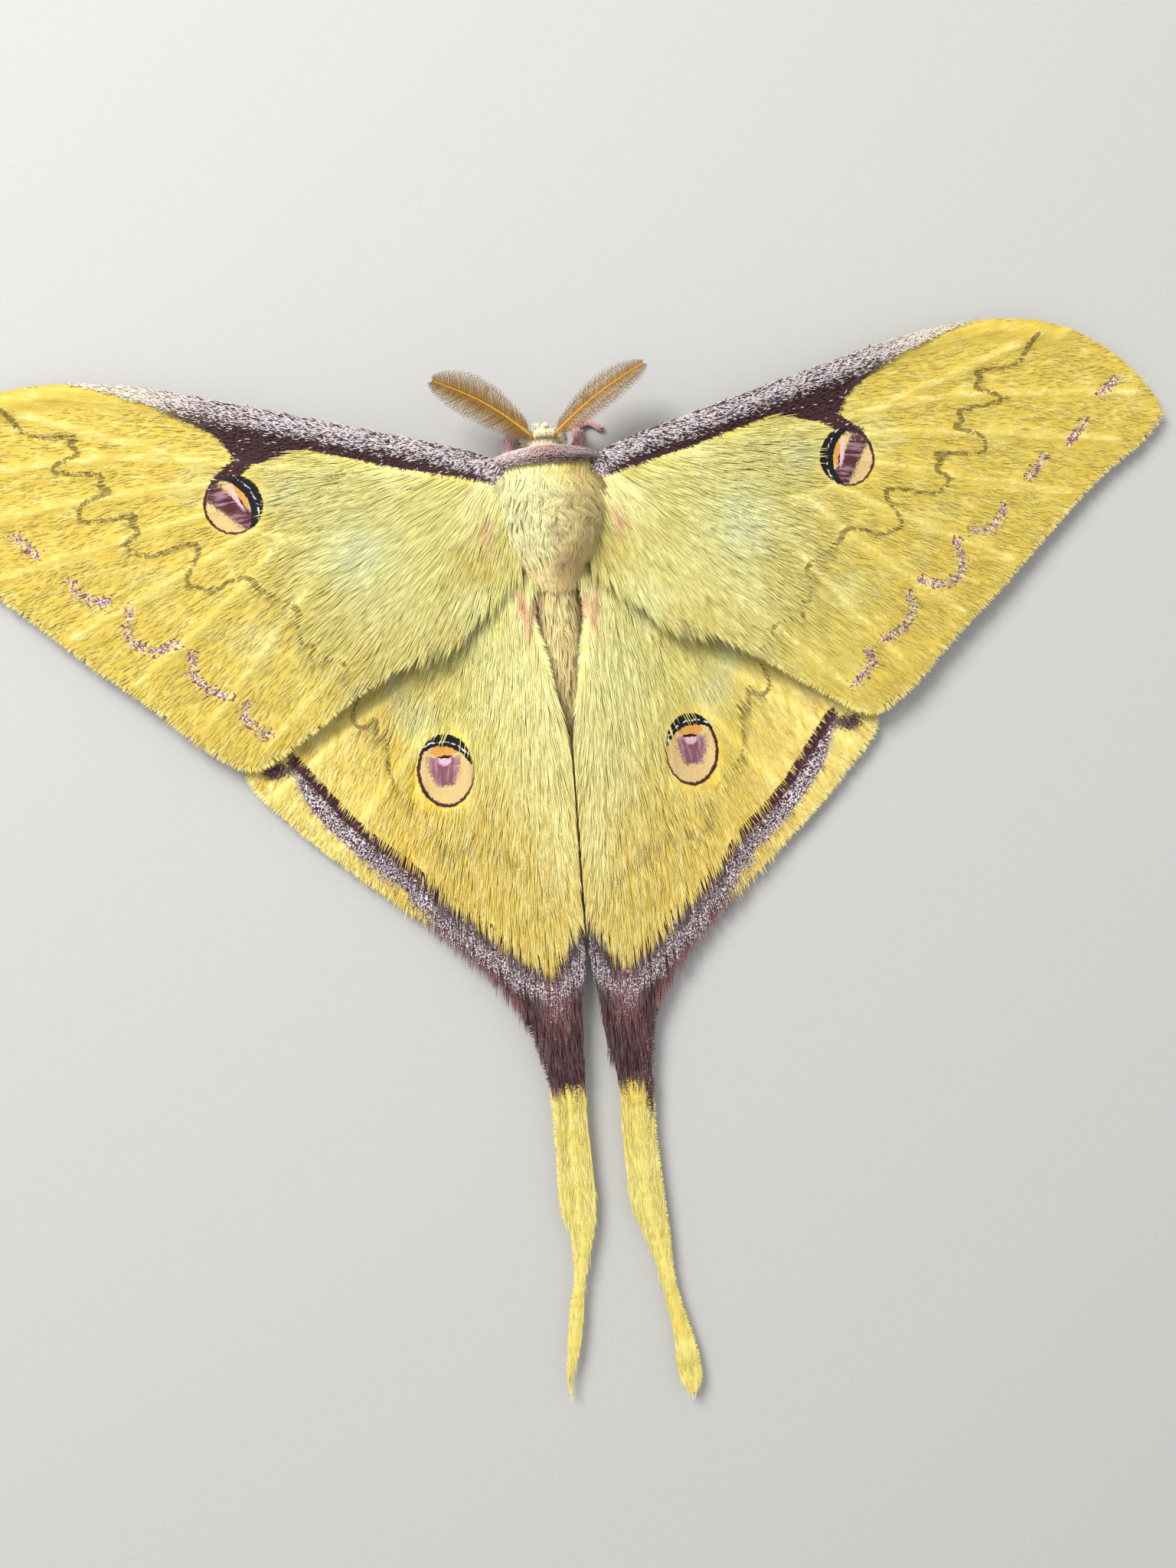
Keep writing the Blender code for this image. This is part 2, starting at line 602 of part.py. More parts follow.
def make_head(finish_node):
    head = solid("head", skull())
    locks = []
    for rise in FACE_ROWS:
        for turn in (-22, 0, 22):
            locks.append(head_lock(math.radians(turn), math.radians(rise)))
    for start, end in TUFT:
        locks.append(straight_lock(start, end, *TUFT_LOCK))
    for side in SIDES.values():
        locks.append(straight_lock((side * PALP_OUT, *PALP_ROOT), (side * PALP_OUT, *PALP_TIP), *PALP_LOCK))
    apply_boolean(head, "UNION", locks)
    sockets = [eye_ball("socket", side, EYE_RADIUS + GAP) for side in SIDES.values()]
    apply_boolean(head, "DIFFERENCE", [core_clearance(), *sockets])
    finish_node(head, HEAD_CENTRE, "cream")


def eye_ball(name, side, radius):
    bm = bmesh.new()
    bmesh.ops.create_uvsphere(bm, u_segments=12, v_segments=8, radius=radius)
    bmesh.ops.translate(bm, verts=bm.verts, vec=(side * EYE_OUT, EYE_CENTRE_BACK, EYE_HEIGHT))
    return solid(name, bm)


def make_eye(finish_node, name, side):
    centre = (side * EYE_OUT, EYE_CENTRE_BACK, EYE_HEIGHT)
    finish_node(eye_ball("eye_" + name, side, EYE_RADIUS), centre, "eye")


def feeler_frame(name, side):
    """Base, direction, side direction and length of one feeler."""
    base = Vector(FEELERS[name]["base"])
    tip = Vector(FEELERS[name]["tip"])
    base.x *= side
    tip.x *= side
    along = (tip - base).normalized()
    flat = along.cross(Vector((0, 0, 1))).normalized()
    across = Matrix.Rotation(math.radians(FEELERS[name]["roll"]) * side, 3, along) @ flat
    return base, along, across, (tip - base).length


def make_feeler(finish_node, name, side):
    base, along, across, length = feeler_frame(name, side)
    up = across.cross(along).normalized()
    bow = FEELERS[name]["bow"]

    def shaft(t):
        return base + along * length * t + across * bow * side * math.sin(math.pi * t)

    rows = [(side * SCAPE[0], *SCAPE[1:], FEELER_SHAFT)]
    for t in (0.0, 0.12, 0.3, 0.5, 0.7, 0.86, 0.98):
        rows.append((*shaft(t), FEELER_SHAFT * (1 - FEELER_TAPER * t)))
    feeler = solid("antenna_" + name, tube(rows, FEELER_SIDES))
    rays = []
    for pair in range(FEELER_PAIRS):
        t = RAY_SPAN[0] + (RAY_SPAN[1] - RAY_SPAN[0]) * pair / (FEELER_PAIRS - 1)
        # The rays are shorter at both ends of the shaft, more so at its tip.
        reach = RAY_REACH * math.sin(math.pi * (0.12 + 0.74 * t)) ** 0.6
        for way in (1, -1):
            rays.append(ray(shaft(t), along, across * way, up, reach))
    apply_boolean(feeler, "UNION", rays)
    apply_boolean(feeler, "DIFFERENCE", [clearance(skull())])
    finish_node(feeler, base, "feeler")


def ray(root, along, across, up, reach):
    """One ray of a feeler, four-sided, bent towards the feeler's tip and a little down."""
    def place(t):
        lean = RAY_LEAN * (0.6 * t + 0.4 * t * t)
        return root + reach * (across * t + along * lean) - up * RAY_DROP * t * t

    rings = []
    for t in (0.0, 0.45, 0.8):
        size = RAY_ROOT + (RAY_TIP - RAY_ROOT) * t
        rings.append([place(t) + way * size for way in (along, up, -along, -up)])
    rings.append([place(1.0)])
    return solid("ray", loft(rings))


def wing_lock(top, start, kind, side):
    """A lock of the long hair at a wing's root, which lies along the wing."""
    def path(t):
        out = start[0] + kind["way"][0] * kind["length"] * t
        back = start[1] + kind["way"][1] * kind["length"] * t
        height = top(out, back) + read(WING_HAIR_RISE, t)[0]
        return Vector((side * out, back, height)), Vector((0, 0, 1))
    return lock(path, kind["width"], WING_HAIR_THICK)


def make_forewing(finish_node, name, side):
    angle = LEFT_FOREWING_TURN if name == "left" else 0.0
    outline = smooth(FORE_COSTA, 3)[:-1] + smooth(FORE_TERMEN, 3)[:-1] + smooth(FORE_DORSUM, 3)
    roll = [(out, back + ROLL_INSET) for out, back in smooth(FORE_COSTA[2:9], 2)]
    lines, lift = ridged([turned(vein, angle) for vein in FORE_VEINS], turned(roll, angle))
    sheet = wing(turned(outline, angle), lines, FORE_GRID, forewing_top, lift)
    obj = solid("forewing_" + name, mirrored(sheet, side))
    locks = [wing_lock(forewing_top, start, FORE_HAIR_LOCK, side) for start in FORE_HAIR]
    apply_boolean(obj, "UNION", locks)
    apply_boolean(obj, "DIFFERENCE", [core_clearance(), clearance(collar_tube(0))])
    finish_node(obj, (side * FORE_ROOT[0], FORE_ROOT[1], FORE_ROOT_TOP), "wing")


def make_hindwing(finish_node, name, side):
    outline = smooth(HIND_COSTA, 3)[:-1] + smooth(HIND_TERMEN, 3) + smooth(HIND_INNER, 3)[:-1]
    outline = [(out, min(back, TAIL_CUT - GAP / 2)) for out, back in outline]
    lines, lift = ridged(HIND_VEINS)
    sheet = wing(outline, lines, HIND_GRID, hindwing_top, lift)
    obj = solid("hindwing_" + name, mirrored(sheet, side))
    inner = sorted((back, out) for out, back in smooth(HIND_INNER, 3))
    locks = []
    for back in HIND_HAIR_ROWS:
        edge = read(inner, back)[0] + HIND_HAIR_INSET
        for start in ((edge, back), (edge + HIND_HAIR_STEP[0], back + HIND_HAIR_STEP[1])):
            locks.append(wing_lock(hindwing_top, start, HIND_HAIR_LOCK, side))
    apply_boolean(obj, "UNION", locks)
    apply_boolean(obj, "DIFFERENCE", [core_clearance()])
    finish_node(obj, (side * 3.5, 4.0, 4.4), "wing")


def make_tail(finish_node, name, side):
    table = smooth(TAILS[name], 2)
    first = (TAIL_CUT + GAP / 2, *read(table, TAIL_CUT + GAP / 2))
    rows = [row for row in table if row[0] > TAIL_CUT + GAP]
    rows = [first, *rows]
    outline = [(out - half, back) for back, out, half in rows]
    outline += [(out + half, back) for back, out, half in reversed(rows)]
    lines, lift = ridged([[(out, back) for back, out, half in TAILS[name][1:] if half > 2 * VEIN_HALF]])
    obj = solid("tail_" + name, mirrored(wing(outline, lines, HIND_GRID, hindwing_top, lift), side))
    finish_node(obj, (side * first[1], first[0], 1.5), "wing")


def make_leg(finish_node, name, side, key):
    rows = [(side * out, back, height, radius) for out, back, height, radius in smooth(LEGS[key], 2)]
    leg = solid(name, tube(rows, LEG_SIDES, 0.0))
    apply_boolean(leg, "DIFFERENCE", [core_clearance()])
    finish_node(leg, rows[0][:3], "leg")


def make_material(name, colour, roughness):
    material = bpy.data.materials.new(name)
    material.use_nodes = True
    shader = material.node_tree.nodes["Principled BSDF"]
    shader.inputs["Base Color"].default_value = (*colour, 1)
    shader.inputs["Roughness"].default_value = roughness
    shader.inputs["Metallic"].default_value = 0.0
    material.diffuse_color = (*colour, 1)
    return material


def main():
    for obj in list(bpy.data.objects):
        bpy.data.objects.remove(obj)
    materials = {
        "wing": make_material("Yellow wing scales", (0.78, 0.62, 0.10), 0.75),
        "fur": make_material("Yellow body hair", (0.80, 0.68, 0.22), 0.85),
        "mauve": make_material("Mauve collar hair", (0.36, 0.20, 0.22), 0.85),
        "cream": make_material("Cream face hair", (0.80, 0.68, 0.42), 0.85),
        "feeler": make_material("Golden brown feelers", (0.45, 0.27, 0.06), 0.7),
        "leg": make_material("Pink leg scales", (0.62, 0.30, 0.30), 0.8),
        "eye": make_material("Dark eyes", (0.02, 0.012, 0.008), 0.2),
    }
    moth = bpy.data.objects.new("moth", None)
    bpy.context.scene.collection.objects.link(moth)

    def finish_node(obj, root, material):
        """Turns the mesh to metres with its origin at its root, and hangs it on the moth."""
        obj.data.transform(Matrix.Scale(MM, 4) @ Matrix.Translation(-Vector(root)))
        obj.data.materials.clear()
        obj.data.materials.append(materials[material])
        obj.location = Vector(root) * MM
        obj.parent = moth

    make_thorax(finish_node)
    make_abdomen(finish_node)
    make_collar(finish_node)
    make_head(finish_node)
    for name, side in SIDES.items():
        make_eye(finish_node, name, side)
        make_feeler(finish_node, name, side)
        make_forewing(finish_node, name, side)
        make_hindwing(finish_node, name, side)
        make_tail(finish_node, name, side)
        make_leg(finish_node, "foreleg_" + name, side, "foreleg_" + name)
        make_leg(finish_node, "midleg_" + name, side, "midleg")
        make_leg(finish_node, "hindleg_" + name, side, "hindleg")


main()
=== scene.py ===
"""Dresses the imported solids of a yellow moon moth: wings, coat, feelers, eyes, legs and stage.

The frame is in metres with the head along -Y, the wings along X and the floor at Z = 0. The shape
functions here work in millimetres: `out` is the distance from the middle line and `back` the
distance towards the tail, as seen from above. What is painted on a wing is a set of marks, numbers
from 0 to 1 at each point, which the sheet and the hair on it share.
"""

import math

import bpy
import numpy as np
from bpy.props import FloatProperty, FloatVectorProperty, IntProperty, PointerProperty
from mathutils import Matrix, Vector
from mathutils.geometry import delaunay_2d_cdt


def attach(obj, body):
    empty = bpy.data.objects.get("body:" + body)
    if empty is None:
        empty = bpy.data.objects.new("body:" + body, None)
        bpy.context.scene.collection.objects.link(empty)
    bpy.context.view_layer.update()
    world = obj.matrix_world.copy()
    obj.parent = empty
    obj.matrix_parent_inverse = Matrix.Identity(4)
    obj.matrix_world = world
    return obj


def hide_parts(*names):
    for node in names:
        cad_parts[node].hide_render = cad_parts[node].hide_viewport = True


bl_info = {
    "name": "Yellow moon moth",
    "version": (1, 0, 0),
    "blender": (4, 5, 0),
    "location": "View3D > Sidebar > Moth",
    "description": "Wings, coat, feelers, eyes and legs of a yellow moon moth around its packed solids",
    "category": "Object",
}

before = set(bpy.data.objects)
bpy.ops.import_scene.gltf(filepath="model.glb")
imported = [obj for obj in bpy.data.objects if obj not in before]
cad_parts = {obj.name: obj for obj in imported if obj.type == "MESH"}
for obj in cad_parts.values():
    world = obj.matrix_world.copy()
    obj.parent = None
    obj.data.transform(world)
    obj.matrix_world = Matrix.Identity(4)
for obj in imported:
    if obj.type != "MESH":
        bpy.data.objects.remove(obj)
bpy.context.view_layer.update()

MM = 0.001
SIDES = {"left": 1, "right": -1}

# Wing outlines, heights and veins, as in the solids.
FORE_ROOT = (4.8, -2.5)
FORE_REACH = 54.0
FORE_ROOT_TOP = 5.9
FORE_TIP_TOP = 1.2
FORE_SLOPE = 2.0
HIND_EDGE_TOP = 1.15
HIND_BULGE = 8.0
LEFT_FOREWING_TURN = math.radians(0.8)
FORE_COSTA = [(2.5, -2.2), (2.9, -4.0), (4.9, -5.7), (8.0, -6.9), (16.2, -9.5), (24.4, -12.0),
              (32.7, -14.4), (41.1, -15.6), (47.5, -14.7), (52.5, -11.9), (55.7, -8.4), (56.5, -6.4)]
FORE_TERMEN = [(56.5, -6.4), (54.7, -4.3), (49.4, -0.5), (44.3, 4.1), (39.9, 8.2), (35.2, 12.3),
               (31.0, 16.3), (27.3, 18.4)]
FORE_DORSUM = [(27.3, 18.4), (23.2, 16.4), (18.0, 13.0), (13.2, 10.2), (9.2, 9.0), (6.2, 6.1), (2.6, 2.9)]
HIND_COSTA = [(1.2, 2.2), (8.0, 3.4), (14.0, 6.0), (20.0, 9.8), (25.0, 14.3), (27.6, 18.4)]
HIND_TERMEN = [(27.6, 18.4), (27.1, 20.4), (24.4, 23.4), (21.1, 26.7), (16.7, 30.5), (12.6, 33.9),
               (8.4, 38.0), (6.3, 41.0)]
HIND_INNER = [(0.8, 41.0), (0.35, 38.0), (0.35, 30.0), (0.35, 20.0), (0.8, 15.5),
              (1.9, 11.5), (2.6, 8.0), (2.3, 5.0), (1.2, 2.2)]
HIND_CREST = [(0.0, 3.3), (3.0, 4.0), (5.5, 4.8), (8.0, 5.3), (14.0, 5.5), (18.0, 5.1), (22.0, 4.5),
              (26.0, 3.8), (30.0, 3.0), (36.0, 2.3), (44.0, 1.8), (60.0, 1.3), (77.0, 1.15)]
TAILS = {
    "right": [(43.6, 3.02, 2.15), (46.4, 3.2, 1.7), (49.5, 3.28, 1.42), (53.0, 3.2, 1.4),
              (57.0, 3.3, 1.48), (60.0, 3.5, 1.45), (62.5, 4.0, 1.1), (65.0, 4.45, 0.7),
              (68.0, 4.85, 0.6), (71.0, 5.45, 0.75), (74.0, 5.8, 1.0),
              (75.8, 5.95, 0.85), (76.8, 6.0, 0.25)],
    "left": [(43.6, 3.02, 2.15), (46.4, 2.75, 1.7), (49.0, 2.6, 1.45), (53.0, 2.6, 1.4),
             (58.0, 2.6, 1.55), (60.4, 2.6, 1.38), (61.4, 2.42, 1.05), (64.0, 2.75, 0.65),
             (66.0, 3.1, 0.42), (68.5, 3.55, 0.58), (71.5, 4.05, 0.52),
             (74.0, 4.6, 0.22), (75.6, 4.65, 0.08)],
}
FORE_VEINS = [
    [(4.2, -4.0), (14.0, -5.4), (25.0, -7.2), (38.0, -9.0), (54.0, -8.2)],
    [(30.0, -8.1), (38.0, -11.2), (45.6, -13.9)],
    [(27.2, -5.9), (38.0, -5.6), (52.2, -4.0)],
    [(27.6, -3.8), (37.0, -1.8), (47.2, 0.4)],
    [(25.2, -1.6), (33.0, 2.2), (41.3, 6.0)],
    [(22.6, -0.7), (29.0, 4.9), (36.4, 10.4)],
    [(17.6, -0.5), (24.0, 7.0), (31.2, 15.0)],
    [(4.2, -2.2), (12.0, -0.9), (20.0, -0.5), (25.2, -1.6), (27.4, -4.0), (26.4, -7.0)],
    [(4.2, -1.0), (14.5, 6.3), (26.0, 16.9)],
]
HIND_VEINS = [
    [(3.2, 3.8), (14.0, 8.0), (21.0, 12.6), (26.2, 17.6)],
    [(3.4, 4.4), (12.0, 11.6), (18.6, 16.2), (25.2, 21.0)],
    [(9.6, 9.8), (13.0, 17.6), (20.2, 26.2)],
    [(12.0, 15.6), (13.2, 24.0), (13.4, 31.8)],
    [(3.2, 4.8), (8.0, 15.0), (9.0, 27.0), (7.2, 37.6)],
    [(3.1, 5.8), (5.2, 18.0), (4.9, 29.0), (3.7, 43.2)],
    [(2.9, 12.4), (1.9, 24.0), (1.7, 35.6)],
]

# Marks on the forewing.
COSTAL_BAND = [(3.0, -2.9), (5.1, -3.6), (11.9, -5.4), (15.9, -6.7), (20.2, -8.1), (22.1, -7.7),
               (24.7, -7.1), (26.0, -6.3), (26.9, -5.4), (28.8, -5.3), (28.2, -6.4), (26.9, -7.3),
               (26.2, -7.8), (26.9, -9.2), (27.9, -10.2), (32.5, -12.9), (37.0, -14.7), (40.0, -15.7)]
FORE_LINE = [(45.4, -14.0), (44.5, -13.0), (43.1, -11.4), (39.5, -11.0), (39.8, -10.4), (39.2, -9.5),
             (40.9, -8.9), (41.3, -8.2), (37.6, -7.6), (37.7, -6.7), (36.9, -6.1), (39.0, -5.4),
             (39.7, -4.4), (39.0, -3.7), (35.1, -3.9), (35.4, -3.2), (34.8, -2.4), (36.0, -1.5),
             (34.4, -0.4), (30.7, -1.0), (30.0, -0.4), (31.2, 1.9), (30.6, 2.6), (28.7, 3.0),
             (27.9, 2.5), (26.3, 2.3), (25.6, 2.7), (25.3, 3.3), (22.3, 5.3), (22.3, 6.5),
             (22.2, 8.2), (21.2, 8.5), (21.5, 9.7), (20.3, 9.8), (18.8, 10.3), (18.5, 11.2), (17.4, 12.3)]
FORE_LINE_DARK = [(44.5, -13.0), (39.7, -10.6), (37.6, -6.8), (35.2, -3.4), (30.2, -0.5), (25.5, 2.8),
                  (22.3, 5.6)]
FORE_INNER_LINE = [(17.5, -6.5), (16.9, -5.0), (17.1, -3.9), (16.6, -2.7), (15.7, -0.8), (15.4, 0.6),
                   (13.3, 4.7), (12.3, 7.2), (10.4, 9.1)]
LUNULES = [[(52.5, -9.4), (50.9, -8.4)], [(49.2, -5.9), (47.5, -4.2)], [(45.1, -3.0), (43.4, -1.3)],
           [(40.9, 1.2), (40.5, 2.1), (39.5, 2.9), (37.8, 3.2)],
           [(36.2, 3.9), (36.6, 6.5), (35.6, 7.3), (34.4, 7.7), (32.6, 7.2)],
           [(31.4, 8.4), (31.6, 9.7), (30.9, 10.8), (29.6, 11.8), (28.8, 12.0)],
           [(27.2, 13.1), (27.6, 14.0), (26.7, 15.0), (25.7, 15.8)]]
FORE_SPOT = (26.7, -4.0)
FORE_SPOT_SIZE = (2.5, 2.45)
FORE_SPOT_TURN = {"left": -63, "right": -80}
FORE_PLUM_SLANT = 0.38
# The first smudge darkens the inner line; the second is painted shade on the forewing's hind edge, where it
# meets the hindwing.
FORE_SMUDGE_AND_SHADE = [(0.5, (16.9, -5.2), (0.8, 1.4)), (0.8, (10.3, 9.0), (1.3, 0.9))]
FORE_PALE = [(0.4, (13.5, 2.0), (4.0, 3.2)), (0.9, (5.4, -3.1), (1.3, 0.9))]
FORE_MINT = [(0.85, (15.5, 0.6), (2.6, 3.2)), (0.5, (21.5, -4.4), (2.6, 1.8))]
FORE_ROSE = [(1.0, (4.8, -0.9), (0.4, 1.3))]

# Marks on the hindwing.
HIND_LINE = [(17.7, 13.5), (18.3, 14.9), (18.0, 15.9), (17.1, 16.0), (16.4, 15.4), (16.3, 17.3),
             (15.5, 16.6), (15.6, 18.1), (15.6, 19.9), (15.3, 21.2), (14.9, 21.8), (12.0, 24.9),
             (11.7, 25.9), (10.8, 27.1), (8.9, 26.2), (8.2, 26.9), (5.5, 27.5), (4.2, 29.6)]
HIND_LINE_DARK = [(17.0, 15.8), (15.5, 17.0), (11.7, 25.9), (8.9, 26.4), (5.2, 28.2)]
YELLOW_EDGE = [(23.6, 17.6), (21.7, 20.0), (19.1, 23.4), (17.2, 25.4), (14.7, 27.5), (12.0, 30.4),
               (9.6, 32.6), (7.1, 34.6), (5.3, 36.3), (3.2, 37.6), (1.7, 35.2), (0.6, 33.4), (-2.0, 31.0)]
YELLOW_FAR_CORNERS = [(-2.0, -5.0), (34.0, -5.0), (34.0, 12.0)]
HIND_SPOT = (10.8, 20.4)
HIND_SPOT_SIZE = (2.4, 3.1)
HIND_SMUDGE = [(0.8, (25.3, 19.1), (1.5, 1.0))]
HIND_FAINT = [(0.5, (5.0, 28.0), (1.0, 0.9)), (0.5, (3.0, 29.8), (0.6, 1.4))]
HIND_PALE = [(0.85, (2.5, 14.0), (3.4, 9.0)), (0.5, (1.5, 26.0), (2.2, 7.0))]
HIND_FLUSH = [(3.2, 4.2), (2.7, 7.0), (1.8, 10.0)]
TAIL_SHEEN = [(1.0, (3.0, 40.6), (1.3, 2.6))]
TAIL_DARK_END = 48.4
TAIL_YELLOW_START = (48.0, 51.0)

# Widths in which the painted lines fade, to either side.
WAVY_WIDTH = 0.5
INNER_LINE_WIDTH = 1.0
LUNULE_WIDTH = 1.15
VEIN_MARK_WIDTH = 0.36
FLUSH_WIDTH = 0.65
DARK_SPOT_SIZE = (0.9, 0.9)

# Names of the marks, and a place far outside an eyespot, which hair gets so that it shows none.
MARKS = ("mauve", "lilac", "speckle", "brown", "pale", "mint", "base", "rose")
NO_SPOT = 9.0

# Where the pattern of the scales starts in front of the wings, the radius at which it is true to size,
# and the angle from which an edge of a sheet counts as sharp.
FLOW_START = 8.0
FLOW_RADIUS = 26.0
SHARP_ANGLE = math.radians(50)

# Unwrap of the hair: a tuft's patch, and the millimetres that the wings' own unwrap stands for.
PATCH = 0.003
UNWRAP_WIDE = 120.0
UNWRAP_HIGH = 200.0
UNWRAP_FRONT = 16.0
UNWRAP_SHELVES = {"forewing": 0.02, "hindwing": 0.52}

# Parts of an eyespot, in shares of its size, with the crescent towards (0, -1).
SPOTS = {
    "forewing": {"hollow": ((0.0, 0.7), 1.2), "beads": 1.43, "orange": ((0.1, -0.4), (0.4, 0.1)),
                 "streak": ((0.14, -0.22), (0.34, 0.06)), "slit": ((-0.1, -0.3), (0.2, 0.02)),
                 "middle": "wine"},
    "hindwing": {"hollow": ((0.16, 0.62), 1.3), "beads": 1.42, "orange": ((0.0, -0.56), (0.44, 0.15)),
                 "streak": ((0.0, -0.3), (0.16, 0.1)), "slit": ((-0.02, -0.4), (0.24, 0.035)),
                 "middle": "plum"},
}

# The skin under the body's coat, as (back, half width, top, bottom, depth of the coat over it).
SKIN = [(-8.15, 0.3, 3.4, 2.7, 0.12), (-7.95, 0.8, 3.95, 2.2, 0.2), (-7.5, 1.3, 4.3, 1.9, 0.25),
        (-6.9, 1.47, 4.45, 1.85, 0.25), (-6.5, 1.7, 5.0, 1.7, 0.3), (-6.2, 2.6, 6.2, 1.3, 0.35),
        (-5.8, 3.9, 6.95, 0.8, 0.4), (-5.2, 4.7, 7.25, 0.4, 0.45), (-4.6, 4.5, 7.2, 0.1, 0.5),
        (-3.8, 4.0, 7.15, -0.4, 0.85),
        (-1.5, 4.25, 7.75, -0.6, 0.85), (1.0, 3.75, 7.45, -0.6, 0.85), (3.2, 2.8, 6.4, -0.2, 0.8),
        (5.1, 2.05, 5.0, 0.5, 0.5), (7.5, 2.0, 4.4, -0.3, 0.5), (11.0, 2.2, 4.1, -0.4, 0.5),
        (15.0, 2.1, 3.6, -0.4, 0.5), (19.0, 2.0, 3.0, -0.3, 0.4), (23.0, 1.5, 2.4, -0.1, 0.4),
        (26.0, 1.0, 1.9, 0.2, 0.3), (27.7, 0.4, 1.6, 0.8, 0.1)]
COLLAR_FRONT = -6.55
COLLAR_BACK = -4.55
COLLAR_SPAN = (-6.6, -4.7)
SKIN_RINGS = 150
SKIN_SIDES = 72
FEELER_TUFTS = 800
PALP_TUFTS = 500
BROW_TUFTS = 600

# Feelers, eyes and legs, as in the solids.
FEELERS = {
    "left": {"base": (1.15, -7.45, 4.9), "tip": (9.1, -12.4, 5.6), "bow": 0.5, "roll": 8.0},
    "right": {"base": (1.0, -7.45, 4.9), "tip": (8.9, -12.75, 5.6), "bow": 0.5, "roll": 40.0},
}
SCAPE = (0.95, -7.2, 3.85)
SHAFT_STATIONS = 60
RAY_STATIONS = 6
RAY_HAIRS = 9
RAY_HAIR_LENGTH = 0.17
RAY_HAIR_RADIUS = 0.022
EYE_CENTRE = (1.35, -7.25, 2.9)
EYE_SHAPE = (0.96, 1.0, 1.0)
EYE_RINGS = 33
EYE_SIDES = 48
FACET_GAP = (0.004, 0.003, 0.002, 1.0)
LEGS = {
    "foreleg_right": [(1.6, -4.4, 1.6, 0.5), (3.2, -7.0, 2.6, 0.5), (3.1, -8.6, 0.85, 0.42),
                      (4.3, -9.1, 0.24, 0.29), (5.5, -8.5, 0.24, 0.27)],
    "foreleg_left": [(1.6, -4.4, 1.6, 0.5), (3.0, -6.6, 2.3, 0.5), (2.5, -8.3, 0.8, 0.42),
                     (2.4, -9.6, 0.24, 0.29), (2.8, -10.6, 0.24, 0.27)],
    "midleg": [(2.4, -2.2, 1.6, 0.5), (6.4, -3.8, 2.5, 0.5), (8.3, -4.9, 0.8, 0.42),
               (9.7, -5.3, 0.24, 0.29), (11.0, -5.2, 0.24, 0.27)],
    "hindleg": [(1.8, 1.6, 1.2, 0.5), (5.6, 3.4, 1.55, 0.48), (7.8, 6.0, 0.7, 0.4),
                (9.0, 8.0, 0.24, 0.29), (9.7, 9.4, 0.24, 0.27)],
}

# Camera: height over the wings at which the photo's frame covers 102.4 by 136.5 mm.
VIEW_HEIGHT = 150.0
VIEW_LONG_SIDE = 136.5
VIEW_TARGET = (-1.4, 22.6, 2.0)
VIEW_TILT = math.radians(5.8)
VIEW_TURN = math.radians(5.1)

# Half the side of the floor.
FLOOR_HALF = 1500.0


def linear(code):
    """Linear red, green and blue of an sRGB colour written as six hex digits."""
    values = [int(code[place:place + 2], 16) / 255 for place in (0, 2, 4)]
    return tuple(v / 12.92 if v <= 0.04045 else ((v + 0.055) / 1.055) ** 2.4 for v in values)


def length(name, description, size):
    """A property that holds a length, given in millimetres."""
    return FloatProperty(name=name, description=description, default=size * MM, min=0.0,
                         precision=5, unit="LENGTH")


def colour(name, description, code):
    """A property that holds a colour, given as sRGB hex."""
    return FloatVectorProperty(name=name, description=description, default=linear(code), size=3,
                               min=0.0, max=1.0, subtype="COLOR")


def count(name, description, number):
    """A property that holds how many tufts a piece has."""
    return IntProperty(name=name, description=description, default=number, min=10)


class MothWings(bpy.types.PropertyGroup):
    """Sizes and colours of the wings."""

    spacing: length("Mesh spacing", "Distance between the points of a wing sheet", 0.25)
    thickness: length("Thickness", "Thickness of a wing with its scales", 0.18)
    vein_height: length("Vein height", "How far a vein stands above the wing", 0.13)
    vein_width: length("Vein width", "Half the width of a vein's ridge", 0.3)
    pleat: length("Pleat depth", "Depth of the soft folds between veins", 0.1)
    golden: colour("Golden", "Outer part of the forewings", "CFB449")
    amber: colour("Amber", "Outer part of the hindwings, and the tails", "E2C04A")
    lemon: colour("Lemon", "Inner part of the wings, greener and paler", "DDD67A")
    cream: colour("Cream", "Pale hair and the highlights along veins", "FCF4AE")
    mint: colour("Mint", "Greenish patches near the forewing's root", "C9D6AC")
    shadow: colour("Shadow", "Between scales and beside veins", "AC8E34")
    maroon: colour("Maroon", "Costal band, eyespot rims and the roots of the tails", "3E191D")
    lilac: colour("Lilac", "Pinkish white flecks on the bands", "E4D6D8")
    brown: colour("Brown", "Wavy lines", "64501F")
    rose: colour("Rose", "Flush at the wing roots", "DB8578")
    black: colour("Black", "Crescent of an eyespot", "08070A")
    orange: colour("Orange", "Sliver inside the crescent", "CF9440")
    wine: colour("Wine", "Middle of the forewing's eyespot", "4E1D26")
    plum: colour("Plum", "Middle of the hindwing's eyespot", "7E4A58")
    pearl: colour("Pearl", "Pale streak in an eyespot", "D9B4C0")
    straw: colour("Straw", "Outer crescent of an eyespot", "D2B478")


